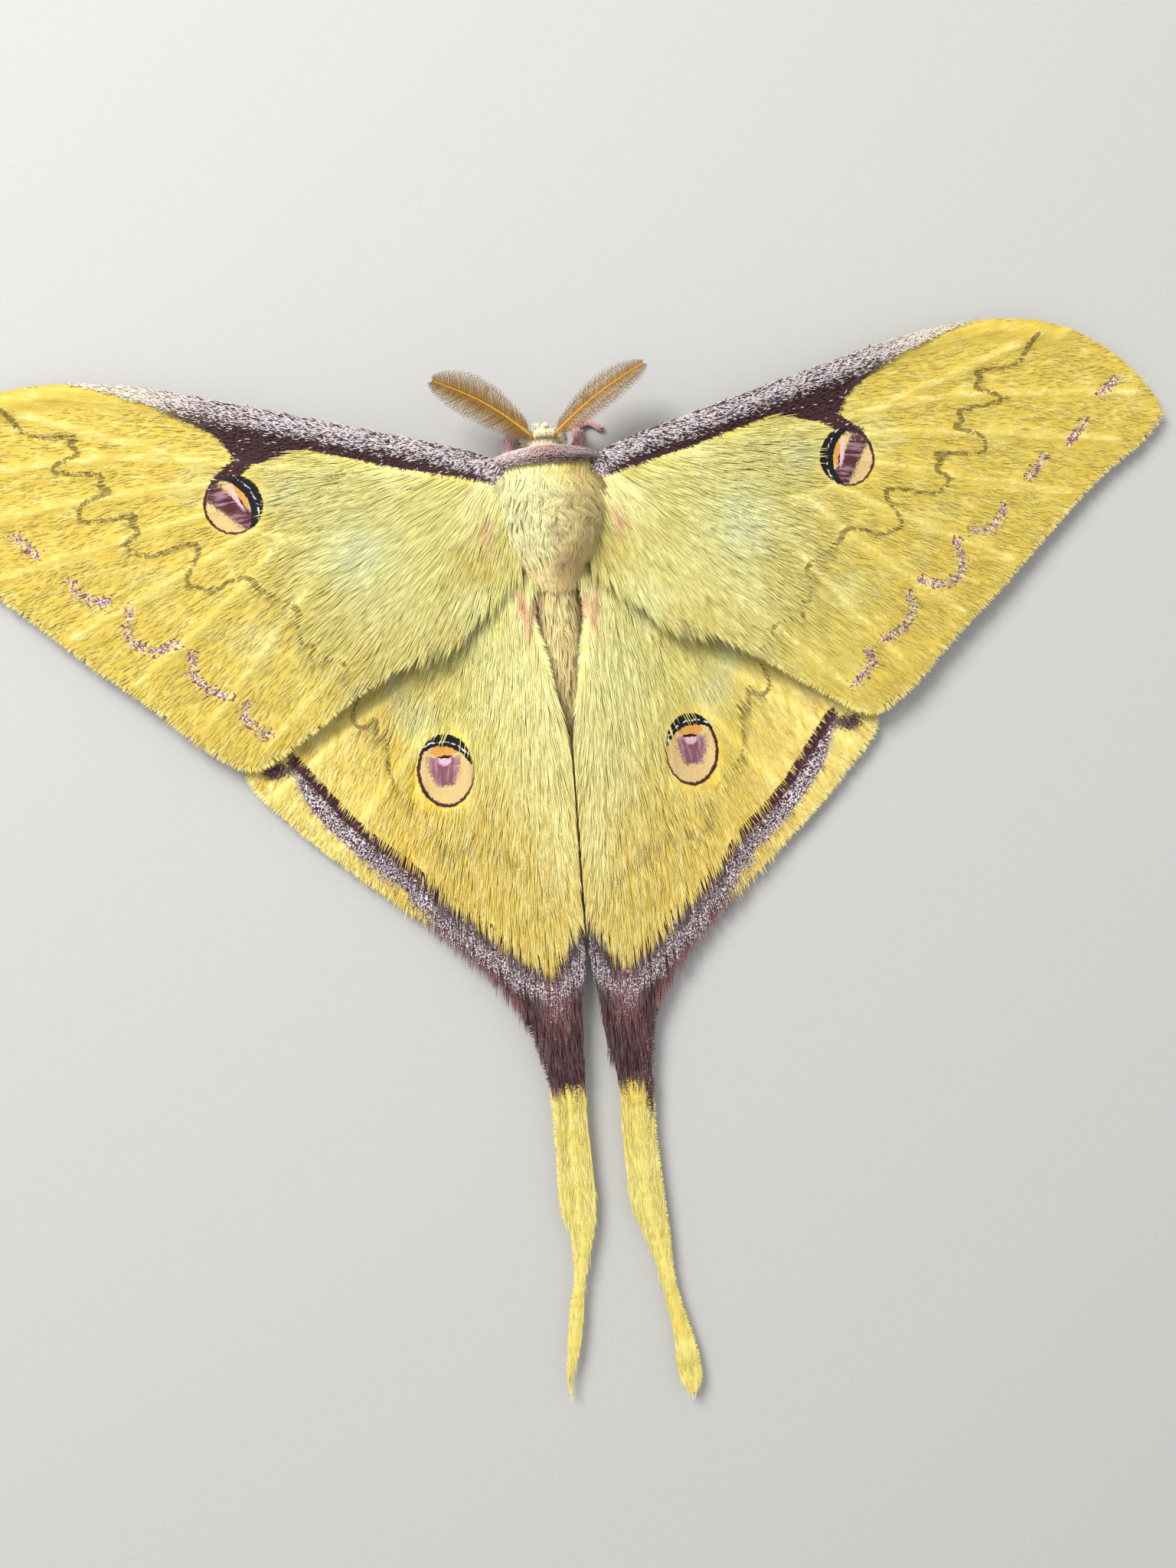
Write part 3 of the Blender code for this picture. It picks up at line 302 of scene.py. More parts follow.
class MothCoat(bpy.types.PropertyGroup):
    """Numbers, sizes and colours of the hair."""

    thorax_tufts: count("Thorax tufts", "Tufts of long hair on the thorax", 12000)
    abdomen_tufts: count("Abdomen tufts", "Tufts on the abdomen", 5000)
    collar_tufts: count("Collar tufts", "Tufts on the collar", 8000)
    face_tufts: count("Face tufts", "Small tufts on the head", 2000)
    forewing_tufts: count("Forewing tufts", "Long tufts on each forewing", 9000)
    forewing_down: count("Forewing down", "Short tufts on each forewing", 5500)
    hindwing_tufts: count("Hindwing tufts", "Long tufts on each hindwing", 9500)
    hindwing_down: count("Hindwing down", "Short tufts on each hindwing", 4500)
    costal_tufts: count("Costal tufts", "Short hairs on each front edge", 7000)
    fringe_tufts: count("Fringe tufts", "Scales along the edge of each wing", 1500)
    leg_tufts: count("Leg tufts", "Tufts on all six legs", 4000)
    hair_width: length("Hair width", "Half the width of a tuft of long hair", 0.042)
    lemon: colour("Lemon hair", "Front and one side of the thorax", "FFF8A4")
    golden: colour("Golden hair", "Other side and back of the thorax", "FFD870")
    pale: colour("Pale hair", "Hair on the abdomen", "F9DE88")
    tan: colour("Tan hair", "Sides of the abdomen and the parting", "B07C34")
    rose: colour("Rose hair", "Patches at the wing roots", "E08E82")
    mauve: colour("Mauve hair", "Collar, at its far side and lower edge", "5A2A30")
    pink: colour("Pink hair", "Middle of the collar", "D0938A")
    frost: colour("Frost hair", "Pinkish white hairs of the collar", "E6CCCD")
    tuft: colour("Cream tuft", "Tuft between the feelers, and the face", "F5E8B8")
    down: colour("Leg down", "Pink scales on the legs", "DC9096")


class MothParts(bpy.types.PropertyGroup):
    """Sizes and colours of the feelers, eyes and legs."""

    segments: count("Feeler segments", "Segments of a feeler, each with two pairs of rays", 60)
    shaft: length("Feeler shaft", "Radius of a feeler's shaft at its base", 0.13)
    ray: length("Ray", "Radius of a ray at its root", 0.042)
    ray_reach: length("Ray reach", "Length of the longest rays", 1.9)
    eye_radius: length("Eye radius", "Radius of an eye", 0.82)
    horn: colour("Feeler shaft", "Scaled shaft of a feeler", "C2923A")
    comb: colour("Feeler rays", "Rays of a feeler", "846224")
    claw: colour("Claws", "Claws and bare joints", "3A1D14")
    eye: colour("Eye", "Facets of the eye", "1A0F0A")


class MothStage(bpy.types.PropertyGroup):
    """Floor, light and camera."""

    floor: colour("Floor", "Plain pale floor", "BCBAB6")
    key_power: FloatProperty(name="Key light", description="Power of the soft main light", default=2.3,
                             min=0.0, subtype="POWER", unit="POWER")
    fill: FloatProperty(name="Fill light", description="Strength of the light from all round", default=0.7,
                        min=0.0)


def curve(points, steps):
    """Points on a smooth curve through the given ones, `steps` to each stretch."""
    rows = np.array([points[0], *points, points[-1]], float)
    t = (np.arange(steps) / steps)[:, None]
    found = []
    for p, q, r, s in zip(rows, rows[1:], rows[2:], rows[3:]):
        found.append(0.5 * (2 * q + (r - p) * t + (2 * p - 5 * q + 4 * r - s) * t ** 2
                            + (3 * q - p - 3 * r + s) * t ** 3))
    return np.vstack([*found, rows[-1:]])


def ramp(values, low, high):
    """0 below low, 1 above high and smooth between; low may be the larger one."""
    t = np.clip((values - low) / (high - low), 0.0, 1.0)
    return t * t * (3 - 2 * t)


def distance(points, line):
    """How far each point lies from a line."""
    line = np.asarray(line, float)
    start = line[:-1]
    run = np.diff(line, axis=0)
    nearest = []
    for part in np.array_split(points, len(points) // 4000 + 1):
        gap = part[:, None] - start
        share = np.clip((gap * run).sum(2) / np.maximum((run ** 2).sum(1), 1e-12), 0, 1)
        nearest.append(np.sqrt(((gap - share[..., None] * run) ** 2).sum(2).min(1)))
    return np.concatenate(nearest)


def inside(points, outline):
    """True for the points within a closed outline."""
    found = np.zeros(len(points), bool)
    for start, end in zip(outline, np.roll(outline, -1, axis=0)):
        if start[1] == end[1]:
            continue
        crosses = (start[1] > points[:, 1]) != (end[1] > points[:, 1])
        share = (points[:, 1] - start[1]) / (end[1] - start[1])
        found ^= crosses & (points[:, 0] < start[0] + (end[0] - start[0]) * share)
    return found


def depth_inside(points, outline):
    """Distance inside a closed outline, less than 0 outside it."""
    outline = np.asarray(outline, float)
    away = distance(points, np.vstack([outline, outline[:1]]))
    return np.where(inside(points, outline), away, -away)


def stroke(points, line, width):
    """1 on a line, falling to 0 at this distance from it."""
    return ramp(distance(points, line), width, 0.0)


def blob(points, centre, size):
    """1 at the centre, falling smoothly away; size may differ along out and back."""
    return np.exp(-(((points - np.array(centre)) / np.array(size)) ** 2).sum(1))


def blobs(points, rows):
    """The sum of several blobs, each given as (strength, centre, size)."""
    return sum(strength * blob(points, centre, size) for strength, centre, size in rows)


def strongest(points, rows):
    """The strongest of several blobs at each point."""
    return np.max([strength * blob(points, centre, size) for strength, centre, size in rows], axis=0)


def along_any(points, lines, width):
    """1 on any of several smooth lines, falling to 0 at this distance from them."""
    return np.max([stroke(points, curve(line, 3), width) for line in lines], axis=0)


def waves(points, seed, size):
    """A smooth random field from -1 to 1 with features about this large."""
    rng = np.random.default_rng(seed)
    total = np.zeros(len(points))
    for _ in range(6):
        angle = rng.uniform(0, math.tau)
        way = np.array([math.cos(angle), math.sin(angle)]) / size * rng.uniform(0.7, 1.5)
        total += np.sin(math.tau * (points @ way) + rng.uniform(0, math.tau))
    return total / 3.0


def turned(points, angle):
    """Points turned towards the tail about the forewing's root."""
    spin = np.array([[math.cos(angle), -math.sin(angle)], [math.sin(angle), math.cos(angle)]])
    return (np.asarray(points, float) - FORE_ROOT) @ spin.T + FORE_ROOT


def forewing_turn(name):
    """How far this forewing is turned back."""
    return LEFT_FOREWING_TURN if name == "left" else 0.0


def forewing_top(points):
    """Height of the forewing's upper face."""
    share = np.minimum(1.0, np.hypot(*(points - FORE_ROOT).T) / FORE_REACH)
    return FORE_TIP_TOP + (FORE_ROOT_TOP - FORE_TIP_TOP) * (1 - share) ** FORE_SLOPE


CREST = curve(HIND_CREST, 4)


def hindwing_top(points):
    """Height of the hindwing's upper face, which bulges over the abdomen."""
    crest = np.interp(points[:, 1], CREST[:, 0], CREST[:, 1])
    return HIND_EDGE_TOP + (crest - HIND_EDGE_TOP) * np.exp(-(points[:, 0] / HIND_BULGE) ** 2)


def forewing_flow(points):
    """Direction in which scales and hair lie on the forewing."""
    way = points - (2.0, -7.0)
    return way / np.linalg.norm(way, axis=1)[:, None]


def hindwing_flow(points):
    """Direction in which scales and hair lie on the hindwing and its tail."""
    fade = ramp(points[:, 1], 40.0, 24.0)
    way = np.stack([(points[:, 0] * 0.55 - 1.0) * fade, points[:, 1] * 0.3 + 8.0], 1)
    return way / np.linalg.norm(way, axis=1)[:, None]


def spot_place(points, centre, size, turn):
    """Coordinates in an eyespot: 1 from its middle at its rim, with the crescent at (0, -1)."""
    angle = math.radians(turn)
    gap = points - np.array(centre)
    across = gap @ np.array([math.cos(angle), math.sin(angle)])
    along = gap @ np.array([-math.sin(angle), math.cos(angle)])
    return np.stack([across / size[0], along / size[1]], 1)


def forewing_ring(points, turn):
    """Place in the forewing's eyespot, and how deep in its slanted plum band."""
    across, along = spot_place(points, FORE_SPOT, FORE_SPOT_SIZE, turn).T
    plum = 1.0 - np.abs(along - FORE_PLUM_SLANT * across - 0.13) / 0.42
    return np.column_stack([across, along, plum])


def hindwing_ring(points):
    """Place in the hindwing's eyespot, and how deep in its plum shield."""
    across, along = spot_place(points, HIND_SPOT, HIND_SPOT_SIZE, 0).T
    wide = 0.66 - 0.6 * np.maximum(along + 0.05, 0.0)
    plum = np.minimum(1.0 - np.abs(across - 0.04) / np.maximum(wide, 0.05), (along + 0.44) / 0.3)
    return np.column_stack([across, along, np.minimum(plum, (0.46 - along) / 0.3)])


def costal_band():
    """Closed outline of the dark band along the forewing's front edge."""
    costa = curve(FORE_COSTA, 4)
    beside = (costa[:, 0] < COSTAL_BAND[-1][0]) & (costa[:, 0] > 2.6)
    return np.vstack([COSTAL_BAND, costa[beside][::-1]])


def forewing_marks(points):
    """The marks of the forewing at each point."""
    edge = distance(points, curve(FORE_COSTA, 4))
    out, back = points.T
    mauve = ramp(depth_inside(points, costal_band()), -0.25, 0.25)
    fade = ramp(out, 27.0, 34.0)
    dark = np.max([blob(points, place, DARK_SPOT_SIZE) for place in FORE_LINE_DARK], axis=0)
    wavy = along_any(points, [FORE_LINE], WAVY_WIDTH) * (0.74 + 0.26 * dark)
    inner = along_any(points, [FORE_INNER_LINE], INNER_LINE_WIDTH) * (0.34 + 0.18 * waves(points, 3, 3.0))
    veins = along_any(points, FORE_VEINS, VEIN_MARK_WIDTH)
    root = ramp(np.hypot(out - 4.0, back + 1.0), 30.0, 6.0)
    # The paleness along the veins is painted highlight.
    pale = 0.4 * veins * ramp(out, 6.0, 16.0) + blobs(points, FORE_PALE)
    mint = blobs(points, FORE_MINT) + 0.25 * ramp(waves(points, 12, 9.0), 0.3, 1.1) * ramp(out, 46.0, 20.0)
    return {
        "mauve": mauve * (1 - 0.6 * fade),
        "lilac": mauve * ramp(edge, 2.3, 0.9) * 0.9,
        "speckle": along_any(points, LUNULES, LUNULE_WIDTH),
        # Brown also holds the painted shade of the second smudge on the hind edge.
        "brown": np.clip(np.maximum.reduce([wavy, inner, strongest(points, FORE_SMUDGE_AND_SHADE)]), 0, 1),
        "pale": np.clip(pale + 0.5 * ramp(waves(points, 9, 7.0), 0.1, 1.0) * root, 0, 1),
        "mint": np.clip(mint, 0, 1),
        "base": root,
        "rose": blobs(points, FORE_ROSE),
    }


def hindwing_marks(points):
    """The marks of the hindwing and tail at each point."""
    out, back = points.T
    beyond = -depth_inside(points, [*YELLOW_EDGE, *YELLOW_FAR_CORNERS])
    edge = distance(points, curve(HIND_TERMEN, 4))
    low = ramp(back, 31.0, 34.5)
    band = ramp(beyond, -0.3, 0.45) * np.maximum(ramp(beyond, 2.7, 2.0), low)
    start = ramp(out + back * 0.2, 28.4, 26.6)
    band *= np.maximum(start, low)
    smudge = blobs(points, HIND_SMUDGE)
    tail = ramp(back, TAIL_DARK_END + 2.4, TAIL_DARK_END - 1.6)
    yellow_tail = ramp(back, *TAIL_YELLOW_START)
    outer = ramp(out - 3.2, 0.4, 1.3) * ramp(back, 56.0, 48.0) * ramp(back, 40.0, 46.0)
    mauve = np.maximum(np.clip(band + smudge, 0, 1) * tail, outer * 0.8)
    # The sheen on each tail's root is painted highlight, drawn as flecks and a little rose.
    sheen = blobs(points, TAIL_SHEEN)
    dark = np.max([blob(points, place, DARK_SPOT_SIZE) for place in HIND_LINE_DARK], axis=0)
    wavy = along_any(points, [HIND_LINE], WAVY_WIDTH) * (0.66 + 0.34 * dark) * ramp(out, 3.0, 7.0)
    flush = stroke(points, HIND_FLUSH, FLUSH_WIDTH)
    flecks = band * ramp(beyond, 0.7, 1.3) * ramp(beyond, 2.9, 2.0) * ramp(back, 43.0, 38.0)
    cloudy = ramp(waves(points, 4, 6.0), 0.3, 1.0) * ramp(back, 30.0, 12.0) * ramp(out, 17.0, 9.0)
    # The paleness along the veins is painted highlight.
    pale = (blobs(points, HIND_PALE) + 0.25 * along_any(points, HIND_VEINS, VEIN_MARK_WIDTH)
            + 0.5 * cloudy + 0.1 * yellow_tail + 0.35 * ramp(out, 14.0, 20.0))
    return {
        "mauve": mauve,
        "lilac": np.clip(flecks + 0.3 * smudge, 0, 1),
        "speckle": np.clip(0.75 * sheen + 0.4 * outer + 0.2 * band * tail * ramp(back, 36.0, 44.0), 0, 0.9),
        "brown": np.clip(np.maximum(wavy, strongest(points, HIND_FAINT)), 0, 1),
        "pale": np.clip(pale, 0, 1),
        "mint": 0.5 * ramp(waves(points, 13, 8.0), 0.3, 1.1) * ramp(back, 26.0, 14.0),
        "base": np.maximum(ramp(np.hypot(out, back - 4.0), 26.0, 8.0), 0.6 * yellow_tail),
        "rose": np.clip(0.85 * flush + 0.2 * sheen + 0.2 * mauve * ramp(edge, 0.9, 0.2) * low, 0, 1),
    }


WING_TOPS = {"forewing": forewing_top, "hindwing": hindwing_top}
WING_FLOWS = {"forewing": forewing_flow, "hindwing": hindwing_flow}
WING_MARKS = {"forewing": forewing_marks, "hindwing": hindwing_marks}


def add(tree, kind, links=None, **settings):
    """Adds a node with its settings, and links or sets the given sockets."""
    node = tree.nodes.new(kind)
    for name, value in settings.items():
        setattr(node, name, value)
    for socket, value in (links or {}).items():
        if isinstance(value, bpy.types.NodeSocket):
            tree.links.new(value, node.inputs[socket])
        else:
            node.inputs[socket].default_value = value
    return node


def new_material(name, roughness, sheen=0.0):
    """A material with a Principled shader, and that shader's node tree."""
    material = bpy.data.materials.new(name)
    material.use_nodes = True
    shader = material.node_tree.nodes["Principled BSDF"]
    shader.inputs["Roughness"].default_value = roughness
    shader.inputs["Sheen Weight"].default_value = sheen
    shader.inputs["Specular IOR Level"].default_value = 0.25
    return material, material.node_tree, shader


def attribute(tree, name, output="Vector"):
    """What the mesh says about each point under this name."""
    return add(tree, "ShaderNodeAttribute", attribute_name=name).outputs[output]


def object_place(tree):
    """The place on the object itself, in metres."""
    return add(tree, "ShaderNodeTexCoord").outputs["Object"]


def noise(tree, place, size, detail):
    """Noise with features about this many millimetres large."""
    return add(tree, "ShaderNodeTexNoise", {"Vector": place, "Scale": 1 / (size * MM), "Detail": detail})


def oval(tree, place, centre, size, soft):
    """A mask of 1 inside an oval of a flat vector, with its edge softened outwards."""
    moved = add(tree, "ShaderNodeVectorMath", {0: place, 1: (*centre, 0.0)}, operation="SUBTRACT")
    shrink = (1 / size[0], 1 / size[1], 0.0)
    scaled = add(tree, "ShaderNodeVectorMath", {0: moved.outputs[0], 1: shrink}, operation="MULTIPLY")
    reach = add(tree, "ShaderNodeVectorMath", {0: scaled.outputs[0]}, operation="LENGTH")
    return add(tree, "ShaderNodeMapRange", {0: reach.outputs[1], 1: 1.0 + soft, 2: 1.0},
               interpolation_type="SMOOTHSTEP").outputs[0]


def wing_material(wings, wing):
    """Scaled moth wing: overlapping scales give a matt surface with a fine grain along the wing."""
    material, tree, shader = new_material("Moth " + wing + " scales", 0.72, 0.1)
    place = object_place(tree)
    flow = attribute(tree, "flow")
    marks = {name: attribute(tree, name, "Fac") for name in MARKS}

    def level(value, low, high):
        limits = {0: value, 1: low, 2: high}
        return add(tree, "ShaderNodeMapRange", limits, interpolation_type="SMOOTHSTEP").outputs[0]

    def math_of(kind, first, second):
        return add(tree, "ShaderNodeMath", {0: first, 1: second}, operation=kind).outputs[0]

    def times(first, second):
        return math_of("MULTIPLY", first, second)

    def plus(first, second):
        return math_of("ADD", first, second)

    def minus(first, second):
        return math_of("SUBTRACT", first, second)

    def over(below, mask, shade):
        return add(tree, "ShaderNodeMix", {0: mask, 6: below, 7: shade}, data_type="RGBA").outputs[2]

    def tone(name):
        return (*getattr(wings, name), 1.0)

    def combed(across, along, detail, roughness=0.5):
        """Noise stretched along the lie of the scales, with its sizes in millimetres."""
        stretch = (1 / across, 1 / along, 0.0)
        comb = add(tree, "ShaderNodeVectorMath", {0: flow, 1: stretch}, operation="MULTIPLY")
        return add(tree, "ShaderNodeTexNoise", {"Vector": comb.outputs[0], "Scale": 1.0, "Detail": detail,
                                                "Roughness": roughness}).outputs[0]

    # Real scales are about 0.12 mm wide. Their grain is drawn a little coarser, and the flecks that
    # the eye sees are clusters of them.
    grain = noise(tree, place, 0.16, 2.0).outputs[0]
    fleck = noise(tree, place, 0.34, 1.5).outputs[0]
    cloud = noise(tree, place, 6.0, 3.0).outputs[0]
    streak = combed(0.3, 2.2, 3.0, 0.6)
    hatch = combed(0.11, 0.6, 1.0)
    ragged = times(minus(grain, 0.5), 0.9)
    edges = {name: level(plus(marks[name], ragged), 0.34, 0.62) for name in ("mauve", "brown")}
    spread = times(marks["speckle"], 0.36)
    layers = [
        (times(marks["base"], level(cloud, 0.2, 0.55)), "lemon"),
        (times(level(cloud, 0.5, 0.8), 0.3), "lemon"),
        # Streaks in shadow are painted shade between the scales, and streaks in cream are painted highlight
        # on them.
        (times(level(streak, 0.5, 0.32), 0.3), "shadow"),
        (times(level(hatch, 0.5, 0.3), 0.15), "shadow"),
        (times(level(streak, 0.5, 0.72), 0.3), "cream"),
        (times(marks["mint"], level(streak, 0.25, 0.55)), "mint"),
        (times(marks["pale"], level(streak, 0.28, 0.62)), "cream"),
        (times(edges["brown"], 0.8), "brown"),
        (edges["mauve"], "maroon"),
        (marks["rose"], "rose"),
        (times(level(marks["lilac"], 0.1, 0.7), level(grain, 0.46, 0.58)), "lilac"),
        # Speckled patches show dark flecks on the yellow, and pale ones on those.
        (level(plus(fleck, spread), 0.76, 0.86), "plum"),
        (level(plus(grain, spread), 0.83, 0.98), "lilac"),
    ]

    # The scales make the eyespot's edges uneven.
    jitter = noise(tree, place, 0.3, 1.0).outputs[1]
    wobble = add(tree, "ShaderNodeVectorMath", {0: jitter, 1: (0.5, 0.5, 0.5)}, operation="SUBTRACT")
    nudge = add(tree, "ShaderNodeVectorMath", {0: wobble.outputs[0], "Scale": 0.1}, operation="SCALE")
    ring = add(tree, "ShaderNodeVectorMath", {0: attribute(tree, "ring"), 1: nudge.outputs[0]},
               operation="ADD").outputs[0]
    shield = add(tree, "ShaderNodeSeparateXYZ", {0: ring}).outputs[2]
    spot_parts = SPOTS[wing]
    spot = oval(tree, ring, (0, 0), (1.0, 1.0), 0.05)
    core = oval(tree, ring, (-0.03, 0), (0.9, 0.9), 0.06)
    hollow, radius = spot_parts["hollow"]
    crescent = times(spot, minus(1.0, oval(tree, ring, hollow, (radius, radius), 0.03)))
    crescent = times(crescent, oval(tree, ring, (0, -0.5), (1.1, 0.75), 0.1))
    near = spot_parts["beads"]
    far = near + 0.04
    beads = minus(oval(tree, ring, hollow, (far, far), 0.02), oval(tree, ring, hollow, (near, near), 0.02))
    middle = times(core, level(plus(shield, ragged), 0.0, 0.35))
    layers += [
        (spot, "maroon"),
        (core, "straw"),
        (middle, spot_parts["middle"]),
        (times(times(middle, level(streak, 0.45, 0.66)), 0.35), "pearl"),
        (times(oval(tree, ring, *spot_parts["streak"], 0.9), 0.85), "pearl"),
        (oval(tree, ring, *spot_parts["orange"], 0.15), "orange"),
        (oval(tree, ring, *spot_parts["slit"], 0.3), "black"),
        (crescent, "black"),
        (times(times(crescent, beads), level(fleck, 0.44, 0.54)), "lilac"),
    ]
    body = tone("golden" if wing == "forewing" else "amber")
    for mask, name in layers:
        body = over(body, mask, tone(name))

    # A tuft is lighter at its tip, partly as painted highlight, and lighter or darker than its neighbours,
    # partly as painted shade on the clumps; on the sheet strand is 0.
    strand = add(tree, "ShaderNodeSeparateXYZ", {0: attribute(tree, "strand")})
    lift = plus(times(strand.outputs[0], 0.6), times(strand.outputs[1], 0.35))
    lift = times(math_of("MAXIMUM", lift, 0.0), minus(1.0, times(marks["mauve"], 0.7)))
    bright = over(body, lift, over(tone("cream"), edges["mauve"], tone("lilac")))
    fall = math_of("MAXIMUM", times(strand.outputs[0], -0.55), 0.0)
    dim = add(tree, "ShaderNodeMix", {0: fall, 6: bright, 7: tone("shadow")}, data_type="RGBA",
              blend_type="MULTIPLY")
    tree.links.new(dim.outputs[2], shader.inputs["Base Color"])
    relief = plus(times(streak, 1.2), plus(times(hatch, 0.6), grain))
    bump = add(tree, "ShaderNodeBump", {"Height": relief, "Distance": 0.08 * MM, "Strength": 0.7})
    tree.links.new(bump.outputs[0], shader.inputs["Normal"])
    return material


def hair_material(name, roughness, light_tip=0.22):
    """Fine scaly hair in tufts: each tuft has its own tint, painted darker at its root as painted shade, and
    paler at its tip, partly as painted highlight.
    """
    material, tree, shader = new_material(name, roughness, 0.15)
    strand = add(tree, "ShaderNodeSeparateXYZ", {0: attribute(tree, "strand")})
    # Tufts are painted darker towards the root and in the shaded locks, as painted shade; the tip is mixed
    # towards pale cream, partly as painted highlight.
    shade = add(tree, "ShaderNodeMapRange", {0: strand.outputs[0], 1: -0.6, 2: 0.4, 3: 0.6, 4: 1.12})
    root = add(tree, "ShaderNodeMapRange", {0: strand.outputs[1], 1: 0.0, 2: 0.6, 3: 0.85, 4: 1.0})
    level = add(tree, "ShaderNodeMath", {0: shade.outputs[0], 1: root.outputs[0]}, operation="MULTIPLY")
    dark = add(tree, "ShaderNodeVectorMath", {0: attribute(tree, "tint", "Color"),
                                              "Scale": level.outputs[0]}, operation="SCALE")
    tip = add(tree, "ShaderNodeMath", {0: strand.outputs[1], 1: light_tip}, operation="MULTIPLY")
    pale = add(tree, "ShaderNodeMix", {0: tip.outputs[0], 6: dark.outputs[0], 7: (1.0, 0.97, 0.86, 1.0)},
               data_type="RGBA")
    tree.links.new(pale.outputs[2], shader.inputs["Base Color"])
    # Barbs break up the gloss of a tuft. They are drawn 0.12 mm apart, coarser than real ones.
    barbs = noise(tree, object_place(tree), 0.12, 2.0)
    bump = add(tree, "ShaderNodeBump", {"Height": barbs.outputs[0], "Distance": 0.03 * MM, "Strength": 0.5})
    tree.links.new(bump.outputs[0], shader.inputs["Normal"])
    return material


def new_object(name, points, faces, material, marks=None, unwrap=None, normals=None):
    """A mesh object from points in millimetres, a list of face arrays, and marks for each point."""
    mesh = bpy.data.meshes.new(name)
    mesh.vertices.add(len(points))
    mesh.vertices.foreach_set("co", (np.asarray(points) * MM).astype(np.float32).ravel())
    corners = np.concatenate([rows.ravel() for rows in faces]).astype(np.int32)
    sizes = np.concatenate([np.full(len(rows), rows.shape[1]) for rows in faces])
    mesh.loops.add(len(corners))
    mesh.loops.foreach_set("vertex_index", corners)
    mesh.polygons.add(len(sizes))
    mesh.polygons.foreach_set("loop_start", np.concatenate([[0], np.cumsum(sizes)[:-1]]).astype(np.int32))
    mesh.update(calc_edges=True)
    mesh.validate()
    for key, values in (marks or {}).items():
        values = np.asarray(values, np.float32)
        kind, slot = {1: ("FLOAT", "value"), 3: ("FLOAT_VECTOR", "vector"),
                      4: ("FLOAT_COLOR", "color")}[1 if values.ndim == 1 else values.shape[1]]
        mesh.attributes.new(key, kind, "POINT").data.foreach_set(slot, values.ravel())
    if unwrap is not None:
        layer = mesh.uv_layers.new(name="OFBake")
        layer.uv.foreach_set("vector", unwrap[corners].astype(np.float32).ravel())
    if normals is not None:
        layer = mesh.attributes.new("custom_normal", "FLOAT_VECTOR", "POINT")
        layer.data.foreach_set("vector", normals.astype(np.float32).ravel())
    mesh.shade_smooth()
    mesh.materials.append(material)
    obj = bpy.data.objects.new(name, mesh)
    bpy.context.scene.collection.objects.link(obj)
    return obj


def place_piece(obj, slot, *nodes):
    """Puts a piece on the moth's one body, in place of the named solids."""
    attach(obj, "root")
    if nodes:
        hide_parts(*nodes)
    return obj


def unit(vectors):
    """The same ways with a length of 1."""
    return vectors / np.maximum(np.linalg.norm(vectors, axis=-1, keepdims=True), 1e-12)


def strands(paths, outs, wide, thick, sides=3):
    """Points and faces of closed tapered strands.

    paths and outs give N strands of K places with the way out of the surface at each, the last
    place being the tip. wide and thick are half sizes for each strand and each ring.
    """
    number, places = paths.shape[:2]
    ahead = np.gradient(paths, axis=1)
    across = unit(np.cross(ahead, outs))
    up = unit(np.cross(across, ahead))
    angles = math.tau * (np.arange(sides) / sides) + (math.pi / 2 if sides == 3 else 0.0)
    ring = (across[:, :-1, None] * (wide[..., None] * np.cos(angles))[..., None]
            + up[:, :-1, None] * (thick[..., None] * np.sin(angles))[..., None])
    rings = (paths[:, :-1, None] + ring).reshape(number, -1, 3)
    points = np.concatenate([rings, paths[:, -1:]], 1)
    each = points.shape[1]
    tip = each - 1
    walls = [(k * sides + i, (k + 1) * sides + i, (k + 1) * sides + (i + 1) % sides,
              k * sides + (i + 1) % sides)
             for k in range(places - 2) for i in range(sides)]
    last = (places - 2) * sides
    ends = [(last + i, tip, last + (i + 1) % sides) for i in range(sides)]
    base = (np.arange(number) * each)[:, None, None]
    faces = [(base + np.array([list(range(sides))])).reshape(-1, sides),
             (base + np.array(walls)).reshape(-1, 4), (base + np.array(ends)).reshape(-1, 3)]
    return points.reshape(-1, 3), faces, each


def tube_faces(rings, sides):
    """Faces of a closed tube of rings of points, with a cap at each end."""
    rows = np.arange(rings - 1)[:, None] * sides
    ring = np.arange(sides)
    after = (ring + 1) % sides
    walls = np.stack([rows + ring, rows + after, rows + after + sides, rows + ring + sides], -1)
    return [walls.reshape(-1, 4), np.stack([ring[::-1], ring + (rings - 1) * sides])]


# Widths of a tuft's rings, and how far along it they stand for tufts of four or three places.
TAPER = np.array([0.8, 1.0, 0.62])
STATIONS = {4: np.array([0.0, 0.38, 0.75, 1.0]), 3: np.array([0.0, 0.55, 1.0])}


